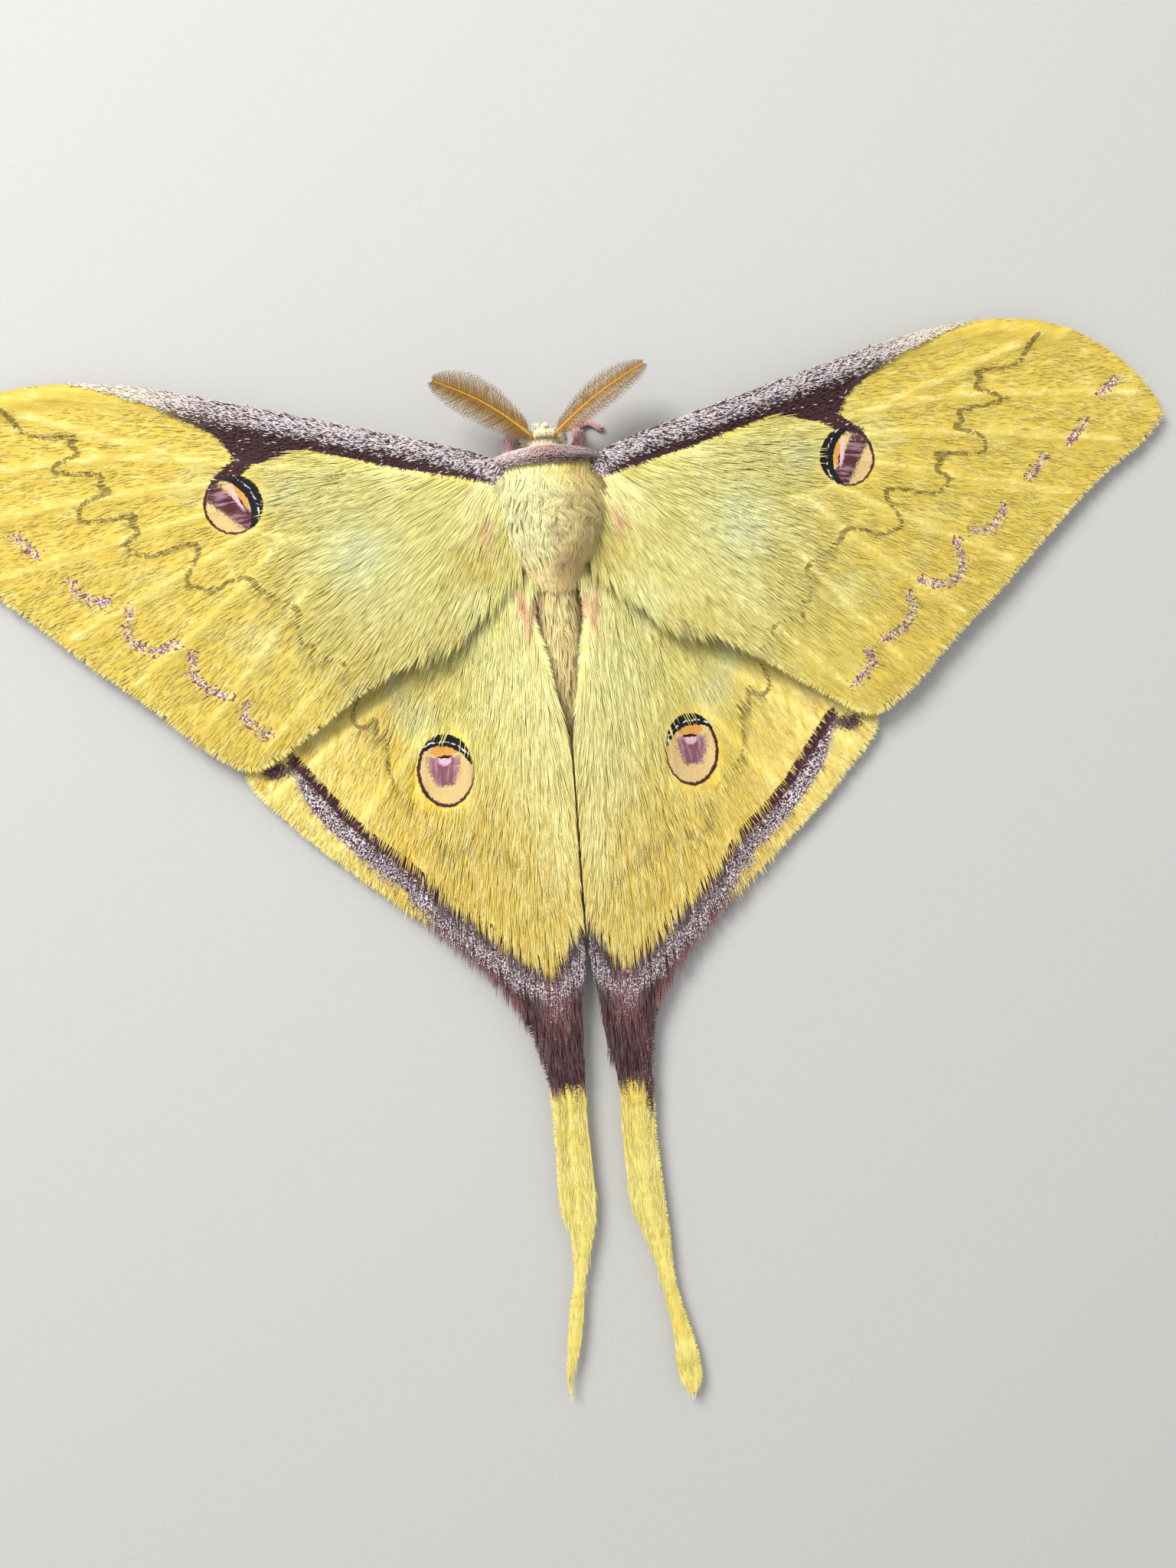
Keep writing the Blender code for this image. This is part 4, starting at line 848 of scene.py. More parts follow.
def hair(name, paths, outs, width, flat, material, slot, marks, unwrap, rng, variety=0.25, shade=0.0):
    """A coat piece of tufts along the given paths, each with its own marks and patch of the unwrap."""
    number, places = paths.shape[:2]
    wide = width[:, None] * TAPER[:places - 1]
    points, faces, each = strands(paths, outs, wide, wide * flat)
    along = np.append(np.repeat(STATIONS[places][:-1], 3), 1.0)
    mix = rng.uniform(-variety, variety, number) + shade
    strand = np.stack([np.repeat(mix, each), np.tile(along, number), np.ones(number * each)], 1)
    given = {key: np.repeat(values, each, axis=0) for key, values in marks.items()}
    given["strand"] = strand
    corner = np.append(np.tile([0.5, 1.0, 0.0], places - 1), 0.5)
    patch = np.stack([corner, along], 1) * PATCH - PATCH / 2
    where = (unwrap[:, None] + patch).reshape(-1, 2)
    # A tuft stands for many fine hairs, so it's shaded mostly like the coat's own surface.
    ring = np.append(np.repeat(np.arange(places - 1), 3), places - 1)
    away = unit(points.reshape(number, each, 3) - paths[:, ring])
    normals = unit(outs[:, ring] + 0.5 * away).reshape(-1, 3)
    return place_piece(new_object(name, points, faces, material, given, where, normals), slot)


def gathered(start, end, cell, pull, rng):
    """Ends of tufts drawn towards the middle of the clump that they belong to."""
    key = np.floor(start / cell + rng.normal(0.0, 0.12, start.shape)).astype(int)
    _, group = np.unique(key, axis=0, return_inverse=True)
    group = group.ravel()
    held = np.bincount(group)
    middle = np.stack([np.bincount(group, end[:, axis]) / held for axis in (0, 1)], 1)[group]
    return end + (middle - end) * pull


def wing_sheet(outline, guides, spacing):
    """Points and triangles that fill a flat outline, with points along the guides."""
    low = outline.min(0)
    high = outline.max(0)
    rows = np.arange(low[1], high[1], spacing * 0.866)
    grid = np.array([(x + spacing * 0.5 * (place % 2), y) for place, y in enumerate(rows)
                     for x in np.arange(low[0], high[0], spacing)])
    border = np.vstack([outline, outline[:1]])
    grid = grid[inside(grid, outline)]
    grid = grid[distance(grid, border) > spacing * 0.5]
    lines = [line[inside(line, outline)] for line in guides]
    lines = [line for line in lines if len(line) > 1]
    for line in lines:
        grid = grid[distance(grid, line) > spacing * 0.45]
    along = np.vstack(lines)
    along = along[distance(along, border) > spacing * 0.4]
    flat = [Vector(point) for point in np.vstack([outline, along, grid])]
    found, _, triangles = delaunay_2d_cdt(flat, [], [list(range(len(outline)))], 1, 0.02, False)[:3]
    found = np.array([tuple(point) for point in found])
    triangles = np.array(triangles)
    return found, triangles[inside(found[triangles].mean(1), outline)]


def wing_object(name, found, triangles, top, relief, wings, marks, material, side):
    """A closed thin sheet over flat points; relief lifts both faces alike."""
    number = len(found)
    height = top(found) + relief(found)
    above = np.column_stack([found[:, 0] * side, found[:, 1], height])
    below = above - (0.0, 0.0, wings.thickness / MM)
    ends = np.concatenate([triangles[:, [0, 1]], triangles[:, [1, 2]], triangles[:, [2, 0]]])
    known = set(map(tuple, ends))
    rim = np.array([(a, b) for a, b in map(tuple, ends) if (b, a) not in known])
    walls = np.column_stack([rim[:, 1], rim[:, 0], rim[:, 0] + number, rim[:, 1] + number])
    faces = [triangles, triangles[:, ::-1] + number, walls]
    if side < 0:
        faces = [rows[:, ::-1] for rows in faces]
    given = {key: np.concatenate([values, values]) for key, values in marks.items()}
    obj = new_object(name, np.vstack([above, below]), faces, material, given)
    obj.data.set_sharp_from_angle(angle=SHARP_ANGLE)
    return obj


def flow_place(points, flow):
    """Coordinates across and along the lie of the scales, in millimetres, for stretched patterns."""
    angle = np.arctan2(flow[:, 1], flow[:, 0])
    reach = np.hypot(points[:, 0], points[:, 1] + FLOW_START)
    return np.column_stack([angle * FLOW_RADIUS, reach, np.zeros(len(points))])


def vein_relief(points, veins, wings):
    """Height of the vein ridges, and depth of the soft folds between them."""
    near = np.min([distance(points, vein) for vein in veins], axis=0)
    ridge = np.exp(-(near / (wings.vein_width / MM)) ** 2) * wings.vein_height / MM
    return ridge, wings.pleat / MM * ramp(near, 0.2, 1.6)


def costal_roll(points):
    """Height of the forewing's thick front edge over the rest of its face."""
    edge = distance(points, curve(FORE_COSTA[2:9], 4))
    return 0.4 * np.exp(-((edge - 1.0) / 0.8) ** 2)


def forewing_outline(steps):
    """Closed outline of the forewing."""
    return np.vstack([curve(part, steps)[:-1] for part in (FORE_COSTA, FORE_TERMEN, FORE_DORSUM)])


def tail_outline(name):
    """Edges of a tail from the wing's end to its tip and back, on the inner side last."""
    rows = curve(TAILS[name], 6)
    outer = np.column_stack([rows[:, 1] + rows[:, 2], rows[:, 0]])
    inner = np.column_stack([rows[:, 1] - rows[:, 2], rows[:, 0]])[::-1]
    return outer, inner


def hindwing_outline(name, steps):
    """Closed outline of the hindwing with its tail."""
    return np.vstack([curve(HIND_COSTA, steps)[:-1], curve(HIND_TERMEN, steps), *tail_outline(name),
                      curve(HIND_INNER, steps)[:-1]])


class MOTH_OT_forewings(bpy.types.Operator):
    """Makes the two forewings with their veins, folds and marks"""

    bl_idname = "moth.forewings"
    bl_label = "Forewings"

    def execute(self, context):
        wings = context.scene.moth_wings
        material = wing_material(wings, "forewing")
        veins = [curve(vein, 14) for vein in FORE_VEINS]
        guides = veins + [curve(FORE_LINE, 3), curve(FORE_INNER_LINE, 3)]
        found, triangles = wing_sheet(forewing_outline(12), guides, wings.spacing / MM)
        for name, side in SIDES.items():
            marks = forewing_marks(found)
            marks["ring"] = forewing_ring(found, FORE_SPOT_TURN[name])
            marks["flow"] = flow_place(found, forewing_flow(found))
            angle = forewing_turn(name)

            def relief(points, angle=angle):
                points = turned(points, -angle)
                ridge, fold = vein_relief(points, veins, wings)
                return ridge + costal_roll(points) - fold + 0.05 * waves(points, 21, 3.5)

            obj = wing_object("forewing_" + name + "_scaled", turned(found, angle), triangles, forewing_top,
                              relief, wings, marks, material, side)
            place_piece(obj, "wing_scales", "forewing_" + name)
        return {"FINISHED"}


class MOTH_OT_hindwings(bpy.types.Operator):
    """Makes the two hindwings, each in one sheet with its tail"""

    bl_idname = "moth.hindwings"
    bl_label = "Hindwings"

    def execute(self, context):
        wings = context.scene.moth_wings
        material = wing_material(wings, "hindwing")
        for name, side in SIDES.items():
            midrib = curve([(row[1], row[0]) for row in TAILS[name][1:-2]], 10)
            veins = [*(curve(vein, 14) for vein in HIND_VEINS), midrib]
            found, triangles = wing_sheet(hindwing_outline(name, 12), [*veins, curve(HIND_LINE, 3)],
                                          wings.spacing / MM)
            marks = hindwing_marks(found)
            marks["ring"] = hindwing_ring(found)
            marks["flow"] = flow_place(found, hindwing_flow(found))

            def relief(points, veins=veins):
                ridge, fold = vein_relief(points, veins, wings)
                return ridge - (fold - 0.05 * waves(points, 22, 3.5)) * ramp(points[:, 1], 46.0, 40.0)

            obj = wing_object("hindwing_" + name + "_scaled", found, triangles, hindwing_top, relief, wings,
                              marks, material, side)
            place_piece(obj, "wing_scales", "hindwing_" + name, "tail_" + name)
        return {"FINISHED"}


SECTIONS = curve(SKIN, 4)


def body_place(back, turn, depth):
    """Points on the body's coat and the way out of it; depth 1 is the skin and 0 the tips."""
    wide, top, bottom, coat = (np.interp(back, SECTIONS[:, 0], row) for row in SECTIONS[:, 1:].T)
    grow = coat * (1 - depth)
    middle = (top + bottom) / 2
    height = middle + (top - middle + grow) * np.sin(turn)
    place = np.stack([(wide + grow) * np.cos(turn), back, np.maximum(height, 0.02)], -1)
    out = np.stack([np.cos(turn) / wide, np.zeros_like(back), np.sin(turn) / (top - middle)], -1)
    return place, unit(out)


def body_tint(coat, back, turn, wobble):
    """Colour of the body's hair at a place: lemon and golden halves, mauve collar, cream face."""
    # across is positive on the animal's left, where the hair catches the light and looks paler.
    across = np.cos(turn)
    golden = 0.8 * ramp(wobble - across, -0.1, 0.4) + 0.7 * ramp(back + 3 * wobble, -0.5, 3.0)
    tint = mixed(coat.lemon, coat.golden, np.clip(golden, 0, 1))
    # The parting and the V-shaped hollow at the back of the thorax are painted tan, as painted shade between
    # the locks.
    parting = 0.6 * np.exp(-((across + 0.03 + 0.1 * wobble) / 0.06) ** 2) * ramp(back, -3.6, -1.0)
    hollow = 0.8 * np.exp(-((np.abs(across) - 0.1 * (back - 0.5)) / 0.13) ** 2 - ((back - 1.6) / 1.7) ** 2)
    tint = mixed(tint, coat.tan, np.clip(parting + hollow, 0, 1) * ramp(back, 4.8, 3.6))
    rosy = ramp(np.abs(across), 0.9, 0.98) * ramp(back, -1.8, -0.8) * ramp(back, 2.8, 1.6)
    tint = mixed(tint, coat.rose, rosy * ramp(np.sin(turn), -0.1, 0.1))
    sides = 0.5 * ramp(np.abs(across), 0.5, 0.9) + 0.2 * ramp(back, 9.0, 14.0)
    belly = mixed(coat.pale, coat.tan, np.clip(sides, 0, 1))
    tint = mixed(tint, belly, ramp(back, 4.2, 5.2))
    collar = mixed(coat.frost, coat.pink, 0.15 + 0.8 * np.exp(-(across / 0.3) ** 2))
    # The collar is painted darker towards its back edge, and most on the animal's right, away from the
    # light: painted shade.
    lower = ramp(back, -5.6, -4.9) * (0.35 + 0.6 * ramp(-across, -0.4, 0.1))
    dark = np.clip(0.6 * ramp(3.0 * wobble - 0.4 * across, -0.1, 0.5) + lower, 0, 1)
    collar = mixed(collar, coat.mauve, dark)
    tint = mixed(tint, collar, ramp(back, COLLAR_BACK + 0.1, COLLAR_BACK - 0.15))
    return mixed(tint, coat.tuft, ramp(back, COLLAR_FRONT + 0.15, COLLAR_FRONT - 0.15))


def mixed(first, second, share):
    """Colours between two others, with the second's share for each point."""
    first = np.asarray(first)
    return first + (np.asarray(second) - first) * np.asarray(share)[:, None]


def opaque(tint):
    """The colours with a full alpha beside them, as a colour attribute has it."""
    return np.column_stack([tint, np.ones(len(tint))])


def body_unwrap(back, turn):
    """Place on the unwrap of the skin: round the body along u and from head to tail along v."""
    low, high = SECTIONS[0, 0], SECTIONS[-1, 0]
    return np.stack([0.02 + 0.96 * np.mod(turn + math.pi / 2, math.tau) / math.tau,
                     0.02 + 0.96 * (back - low) / (high - low)], -1)


class MOTH_OT_body(bpy.types.Operator):
    """Makes the one skin under the coat of the head, collar, thorax and abdomen"""

    bl_idname = "moth.body"
    bl_label = "Body skin"

    def execute(self, context):
        coat = context.scene.moth_coat
        back = np.linspace(SECTIONS[0, 0], SECTIONS[-1, 0], SKIN_RINGS)
        turn = math.tau * np.arange(SKIN_SIDES) / SKIN_SIDES
        backs, turns = (values.ravel() for values in np.meshgrid(back, turn, indexing="ij"))
        number = len(backs)
        points = body_place(backs, turns, np.ones(number))[0]
        # The skin is painted darker than the hairs, as painted shade between them.
        tint = body_tint(coat, backs, turns, np.zeros(number)) * 0.8
        marks = {"tint": opaque(tint), "strand": np.tile((0.0, 0.3, 1.0), (number, 1))}
        material = hair_material("Moth body hair", 0.6)
        obj = new_object("body_skin", points, tube_faces(SKIN_RINGS, SKIN_SIDES), material, marks)
        place_piece(obj, "body_hair", "thorax", "abdomen", "collar", "head")
        return {"FINISHED"}


def coat_paths(back, turn, run, swing, rise, places, bend):
    """Paths along the body: each tuft runs back and swings round while it rises to the coat's tips.

    bend sways all tufts of a place alike, so that they lie in wavy locks.
    """
    t = STATIONS[places][None, :]
    backs = back[:, None] + run[:, None] * t
    turns = turn[:, None] + swing[:, None] * t ** 1.3
    sway = waves(np.column_stack([backs.ravel(), 5.0 * turns.ravel()]), 6, 2.4).reshape(backs.shape)
    turns = turns + bend[:, None] * (sway - sway[:, :1])
    depth = 1.15 - (0.15 + rise[:, None]) * t ** 0.8
    return body_place(backs, turns, depth)


def clear_of_wings(paths):
    """Lifts tufts of the thorax that would pass through the wing roots beside it."""
    flat = np.column_stack([np.abs(paths[..., 0].ravel()), paths[..., 1].ravel()])
    floor = np.maximum(forewing_top(flat), hindwing_top(flat)).reshape(paths.shape[:2]) + 0.12
    near = (np.abs(paths[..., 0]) > 3.0) & (paths[..., 2] > 3.6) & (paths[..., 1] > COLLAR_BACK)
    paths[..., 2] = np.where(near, np.maximum(paths[..., 2], floor), paths[..., 2])
    return paths


class MOTH_OT_coat(bpy.types.Operator):
    """Makes the long hair of the thorax and abdomen, the collar and the short hair of the face"""

    bl_idname = "moth.coat"
    bl_label = "Body coat"

    def execute(self, context):
        coat = context.scene.moth_coat
        material = bpy.data.materials["Moth body hair"]
        width = coat.hair_width / MM

        def piece(name, slot, number, seed, *, span, turn_of, run_of, swing_of, rise, size, cell, pull,
                  places, sway):
            """Hair that roots along `span` of the body, runs back by run_of and round by swing_of.

            rise is how high the tips stand in the coat's depth, size the width of a tuft, cell and pull
            how the tufts draw together in clumps, and sway how wavy they lie.
            """
            rng = np.random.default_rng(seed)
            back = rng.uniform(*span, number)
            turn = turn_of(rng, number)
            run = run_of(rng, back, turn)
            swing = swing_of(rng, back, turn)
            radius = np.interp(back, SECTIONS[:, 0], SECTIONS[:, 1]) + 1.0
            start = np.column_stack([back, turn * radius])
            end = gathered(start, start + np.column_stack([run, swing * radius]), cell, pull, rng)
            run = end[:, 0] - back
            swing = end[:, 1] / radius - turn
            # The right half of the thorax has the wavier locks.
            bend = sway * (0.35 + 0.65 * ramp(-np.cos(turn), -0.2, 0.2))
            paths, outs = coat_paths(back, turn, run, swing, rng.uniform(*rise, number), places, bend)
            if name.startswith("thorax"):
                paths = clear_of_wings(paths)
            # Long hair that starts under the collar is yellow too.
            at = np.maximum(back, COLLAR_BACK + 0.2) if slot == "body_hair" else back
            wobble = rng.normal(0.0, 0.12, number)
            if slot == "collar_hair":
                wobble += 0.2 * waves(np.column_stack([back, turn * 4.0]), 7, 0.5)
            tint = opaque(body_tint(coat, at, turn, wobble))
            shade = 0.3 * waves(np.column_stack([back * 0.5, turn * 5.0]), seed, 0.9)
            variety = 0.45 if slot == "collar_hair" else 0.3
            return hair(name, paths, outs, width * size * rng.uniform(0.7, 1.3, number), 0.6, material, slot,
                        {"tint": tint}, body_unwrap(back, turn), rng, variety, shade)

        def all_round(rng, number):
            return rng.uniform(math.radians(-38), math.radians(218), number)

        def on_top(rng, number):
            return math.pi / 2 + rng.normal(0.0, 0.66, number).clip(-1.6, 1.6)

        def spread(rng, back, turn):
            aside = turn - math.pi / 2
            lie = np.interp(back, [-4.6, -2.0, 0.5, 4.0], [0.1, 0.08, -0.15, -0.25])
            return lie * np.sign(aside) * np.abs(aside) ** 0.7 + rng.normal(0, 0.04, len(back))

        def loose(amount):
            return lambda rng, back, turn: rng.normal(0, amount, len(back))

        def run_to(low, high, end):
            """Lengths that stop at the place `end` on the body."""
            return lambda rng, back, turn: np.minimum(rng.uniform(low, high, len(back)), end - back)

        def run_to_waist(rng, back, turn):
            """The thorax's hair ends in a ragged V over the abdomen."""
            length_of = rng.uniform(2.0, 3.6, len(back))
            edge = rng.uniform(5.2, 7.6, len(back)) - 0.8 * np.abs(np.cos(turn))
            return np.minimum(length_of, edge - back)

        def run_on_collar(rng, back, _turn):
            """Shorter towards the thorax."""
            return rng.uniform(0.25, 0.6, len(back)) * np.interp(back, COLLAR_SPAN, [1.0, 0.4])

        def run_forward(rng, back, _turn):
            """The face's hair lies forwards."""
            return -rng.uniform(0.25, 0.5, len(back))

        piece("thorax_coat_under", "body_hair", coat.thorax_tufts // 2, 31, span=(-4.9, 4.6),
              turn_of=all_round, run_of=run_to(1.8, 2.8, 5.9), swing_of=loose(0.06),
              rise=(0.5, 0.75), size=1.2, cell=0.7, pull=0.5, places=3, sway=0.1)
        piece("thorax_coat", "body_hair", coat.thorax_tufts, 32, span=(-4.75, 4.3),
              turn_of=on_top, run_of=run_to_waist, swing_of=spread,
              rise=(0.75, 1.35), size=0.8, cell=0.75, pull=0.8, places=4, sway=0.2)
        piece("abdomen_coat", "body_hair", coat.abdomen_tufts, 33, span=(4.6, 27.2),
              turn_of=all_round, run_of=run_to(1.8, 3.0, 28.3), swing_of=loose(0.06),
              rise=(0.7, 1.05), size=1.0, cell=0.6, pull=0.6, places=4, sway=0.12)
        piece("collar_coat", "collar_hair", coat.collar_tufts, 34, span=COLLAR_SPAN,
              turn_of=all_round, run_of=run_on_collar, swing_of=loose(0.07),
              rise=(0.75, 1.4), size=1.15, cell=0.25, pull=0.5, places=3, sway=0.04)
        piece("face_coat", "face_hair", coat.face_tufts, 35, span=(-8.1, -6.6),
              turn_of=all_round, run_of=run_forward, swing_of=loose(0.12),
              rise=(0.7, 1.2), size=0.8, cell=0.3, pull=0.4, places=3, sway=0.0)
        self.make_tuft(coat, material)
        return {"FINISHED"}

    def make_tuft(self, coat, material):
        """The cream tuft that joins the feelers' bases, the palps, and the hair over the eyes."""
        rng = np.random.default_rng(36)
        number = FEELER_TUFTS
        side = rng.uniform(-1.0, 1.0, number)
        root = np.column_stack([side * 0.75, rng.uniform(-7.6, -7.2, number),
                                4.3 + 0.2 * rng.random(number)])
        lean = np.column_stack([side * 0.15, rng.uniform(-0.35, 0.05, number),
                                0.6 + 0.25 * rng.random(number)])
        number = PALP_TUFTS
        side = np.where(np.arange(number) % 2, 0.42, -0.42)
        palp_root = np.column_stack([side + rng.normal(0, 0.14, number), rng.uniform(-8.6, -7.7, number),
                                     2.2 + rng.normal(0, 0.14, number)])
        palp_lean = np.column_stack([rng.normal(0, 0.05, number), -rng.uniform(0.3, 0.5, number),
                                     rng.normal(0, 0.06, number)])
        # Hair of the head hangs over the upper half of each eye.
        number = BROW_TUFTS
        side = np.where(np.arange(number) % 2, 1.0, -1.0)
        brow_root = np.column_stack([side * rng.uniform(0.95, 1.45, number), rng.uniform(-8.0, -6.7, number),
                                     rng.uniform(3.72, 3.9, number)])
        brow_lean = np.column_stack([side * rng.uniform(0.5, 0.85, number), rng.normal(-0.05, 0.1, number),
                                     -rng.uniform(0.0, 0.15, number)])
        root = np.vstack([root, palp_root, brow_root])
        lean = np.vstack([lean, palp_lean, brow_lean])
        t = STATIONS[3][None, :, None]
        paths = root[:, None] + lean[:, None] * t + np.array([0.0, 0.0, -0.1]) * t ** 2
        outs = np.broadcast_to(unit(np.array([0.1, -0.2, 1.0])), paths.shape).copy()
        # The hair over the eyes is tinted towards mauve, partly as the collar's colour and partly as painted
        # shade beside the cream tuft.
        dark = np.repeat([0.0, 0.0, 0.8], [FEELER_TUFTS, PALP_TUFTS, BROW_TUFTS])
        tint = mixed(coat.tuft, coat.mauve, dark * rng.uniform(0.4, 1.0, len(root)))
        unwrap = body_unwrap(root[:, 1], np.arctan2(root[:, 2] - 3.2, root[:, 0]))
        hair("feeler_tuft", paths, outs, np.full(len(root), 0.05), 0.6, material, "face_hair",
             {"tint": opaque(tint)}, unwrap, rng)


def wing_paths(start, end, top, rise, side, angle=0.0, places=3):
    """Paths over a wing from start to end, which rise from just under its face."""
    t = STATIONS[places][None, :, None]
    flat = start[:, None] + (end - start)[:, None] * t
    if angle:
        flat = turned(flat.reshape(-1, 2), angle).reshape(flat.shape)
    height = top(flat.reshape(-1, 2)).reshape(flat.shape[:2])
    height = height + np.interp(t[0, :, 0], [0.0, 0.35, 1.0], [-0.06, 0.5, 1.0]) * rise[:, None]
    paths = np.stack([flat[..., 0] * side, flat[..., 1], height], -1)
    outs = np.zeros_like(paths)
    outs[..., 2] = 1.0
    return paths, outs


def scattered(rng, outline, number, density):
    """Random points in an outline, more of them where density() is near 1."""
    low, high = outline.min(0), outline.max(0)
    found = np.empty((0, 2))
    while len(found) < number:
        tries = rng.uniform(low, high, (number * 2, 2))
        tries = tries[inside(tries, outline)]
        found = np.vstack([found, tries[rng.random(len(tries)) < density(tries)]])
    return found[:number]


def clear_of_spot(points, centre, size, flow, before, beyond):
    """True outside an eyespot, with more room on the side from which hair would lie over it."""
    place = spot_place(points, centre, size, 0)
    ahead = (unit(place) * flow(points)).sum(1)
    return np.hypot(*place.T) > beyond + (before - beyond) * ramp(ahead, 0.3, -0.5)


def wing_unwrap(points, side, wing):
    """Place on the wings' own flat unwrap: one shelf for each pair, one half for each side."""
    return np.column_stack([0.5 + side * points[:, 0] / UNWRAP_WIDE,
                            UNWRAP_SHELVES[wing] + (points[:, 1] + UNWRAP_FRONT) / UNWRAP_HIGH])


def swayed(rng, start, way, seed, size):
    """Ways that turn with a slow random field, and a little from tuft to tuft."""
    way = way + 0.12 * np.column_stack([waves(start, seed, size), waves(start, seed + 1, size)])
    return way, rng.normal(0, 0.06, way.shape)


class MOTH_OT_wing_hair(bpy.types.Operator):
    """Makes the hair on the wings, the thick short hairs of the front edge and the fringes"""

    bl_idname = "moth.wing_hair"
    bl_label = "Wing hair"

    def execute(self, context):
        coat = context.scene.moth_coat
        wings = context.scene.moth_wings
        for name, side in SIDES.items():
            self.on_forewing(coat, name, side, "hair", coat.forewing_tufts, 4)
            self.on_forewing(coat, name, side, "down", coat.forewing_down, 3)
            self.on_hindwing(coat, name, side, "hair", coat.hindwing_tufts, 4)
            self.on_hindwing(coat, name, side, "down", coat.hindwing_down, 3)
            self.on_costa(coat, wings, name, side)
            self.on_edges(coat, name, side)
        return {"FINISHED"}

    def on_forewing(self, coat, name, side, kind, number, places):
        """Long hair on the forewing's inner part, or short down on its outer part."""
        rng = np.random.default_rng(41 + side + 10 * places)
        long = kind == "hair"

        def reach_of(points):
            return np.hypot(points[:, 0] - 3.0, points[:, 1] + 1.0)

        def density(points):
            reach = reach_of(points)
            close = ramp(reach, 24.0, 11.0) if long else 0.15 + 0.85 * ramp(reach, 15.0, 23.0)
            clear = clear_of_spot(points, FORE_SPOT, FORE_SPOT_SIZE, forewing_flow,
                                  1.45 if long else 1.25, 1.06)
            return close * clear * (forewing_marks(points)["mauve"] < 0.3)

        start = scattered(rng, forewing_outline(6), number, density)
        reach = reach_of(start)
        size = np.interp(reach, [2.0, 8.0, 15.0, 24.0, 50.0], [2.9, 2.8, 2.1, 0.9, 0.6])
        way, stray = swayed(rng, start, forewing_flow(start), 51, 4.0)
        end = start + unit(way + stray) * (size * rng.uniform(0.7, 1.2, number))[:, None]
        end = gathered(start, end, 0.7, 0.45 * ramp(reach, 30.0, 12.0)[:, None], rng)
        rise = np.interp(size, [0.6, 3.0], [0.06, 0.36]) * rng.uniform(0.6, 1.3, number)
        paths, outs = wing_paths(start, end, forewing_top, rise, side, forewing_turn(name), places)
        self.finish(coat, "forewing", name + "_" + kind, start, paths, outs, size, side, rng)

    def on_hindwing(self, coat, name, side, kind, number, places):
        """Long hair on the hindwing's inner part, or short down on its outer part and tail."""
        rng = np.random.default_rng(45 + side + 10 * places)
        long = kind == "hair"

        def density(points):
            close = ramp(points[:, 0], 17.0, 8.0) * ramp(points[:, 1], 50.0, 36.0)
            close = 0.03 + 0.97 * close if long else 1.0 - 0.85 * close
            clear = clear_of_spot(points, HIND_SPOT, HIND_SPOT_SIZE, hindwing_flow,
                                  1.25 if long else 1.12, 1.04)
            # A long hair that starts above the eyespot would lie over it.
            over = blob(points, (HIND_SPOT[0] - 0.6, HIND_SPOT[1] - 4.0), (2.0, 1.6)) < 0.35
            return close * clear * (over | (not long))

        start = scattered(rng, hindwing_outline(name, 6), number, density)
        out, back = start.T
        size = np.interp(out, [0.0, 6.0, 13.0, 20.0], [3.0, 2.7, 1.7, 0.7])
        size = size * np.interp(back, [0.0, 30.0, 46.0, 76.0], [1.0, 0.95, 0.6, 0.3])
        inward = ramp(out, 3.0, 0.8) * ramp(back, 7.0, 12.0) * ramp(back, 40.0, 32.0)
        way, stray = swayed(rng, start, hindwing_flow(start), 53, 4.5)
        way[:, 0] -= 0.18 * inward
        end = start + unit(way + stray) * (size * rng.uniform(0.7, 1.2, number))[:, None]
        end = gathered(start, end, 0.7, 0.45 * ramp(out, 18.0, 8.0)[:, None], rng)
        end[:, 0] = np.where(back < 43.0, np.maximum(end[:, 0], 0.06), end[:, 0])
        rise = np.interp(size, [0.4, 3.0], [0.05, 0.36]) * rng.uniform(0.6, 1.3, number)
        paths, outs = wing_paths(start, end, hindwing_top, rise, side, 0.0, places)
        self.finish(coat, "hindwing", name + "_" + kind, start, paths, outs, size, side, rng)

    def on_costa(self, coat, wings, name, side):
        """Short thick hairs on the front edge: dark ones, with pale ones between them."""
        rng = np.random.default_rng(49 + side)
        costa = curve(FORE_COSTA, 4)
        number = coat.costal_tufts
        start = scattered(rng, costal_band(), number,
                          lambda points: 0.4 + 0.6 * ramp(distance(points, costa), 2.6, 1.2))
        lilac = forewing_marks(start)["lilac"]
        share = np.clip(lilac * 0.72 + ramp(start[:, 0], 28.0, 36.0) * 0.3, 0.04, 0.9)
        pale = rng.random(number) < share
        way = forewing_flow(start) + rng.normal(0, 0.3, start.shape)
        size = rng.uniform(0.28, 0.5, number)
        end = start + unit(way) * size[:, None]
        rise = rng.uniform(0.05, 0.16, number)
        angle = forewing_turn(name)

        def top(points):
            return forewing_top(points) + costal_roll(turned(points, -angle))

        paths, outs = wing_paths(start, end, top, rise, side, angle)
        tint = np.where(pale[:, None], np.array(wings.lilac), np.array(wings.maroon))
        tint = mixed(tint, wings.cream, 0.35 * ramp(start[:, 0], 26.0, 38.0))
        material = bpy.data.materials.get("Moth costal hair") or hair_material("Moth costal hair", 0.5, 0.03)
        hair("costa_" + name + "_hair", paths, outs, rng.uniform(0.03, 0.05, number), 0.8, material,
             "wing_scales", {"tint": opaque(tint)}, wing_unwrap(start, side, "forewing"), rng)

    def on_edges(self, coat, name, side):
        """Fringes on the wings' outer edges, and longer hair on the hindwings' inner edges."""
        rng = np.random.default_rng(57 + side)
        fore = turned(curve([*FORE_TERMEN, *FORE_DORSUM[1:]], 20), forewing_turn(name))
        hind = np.vstack([curve(HIND_TERMEN, 20), tail_outline(name)[0]])
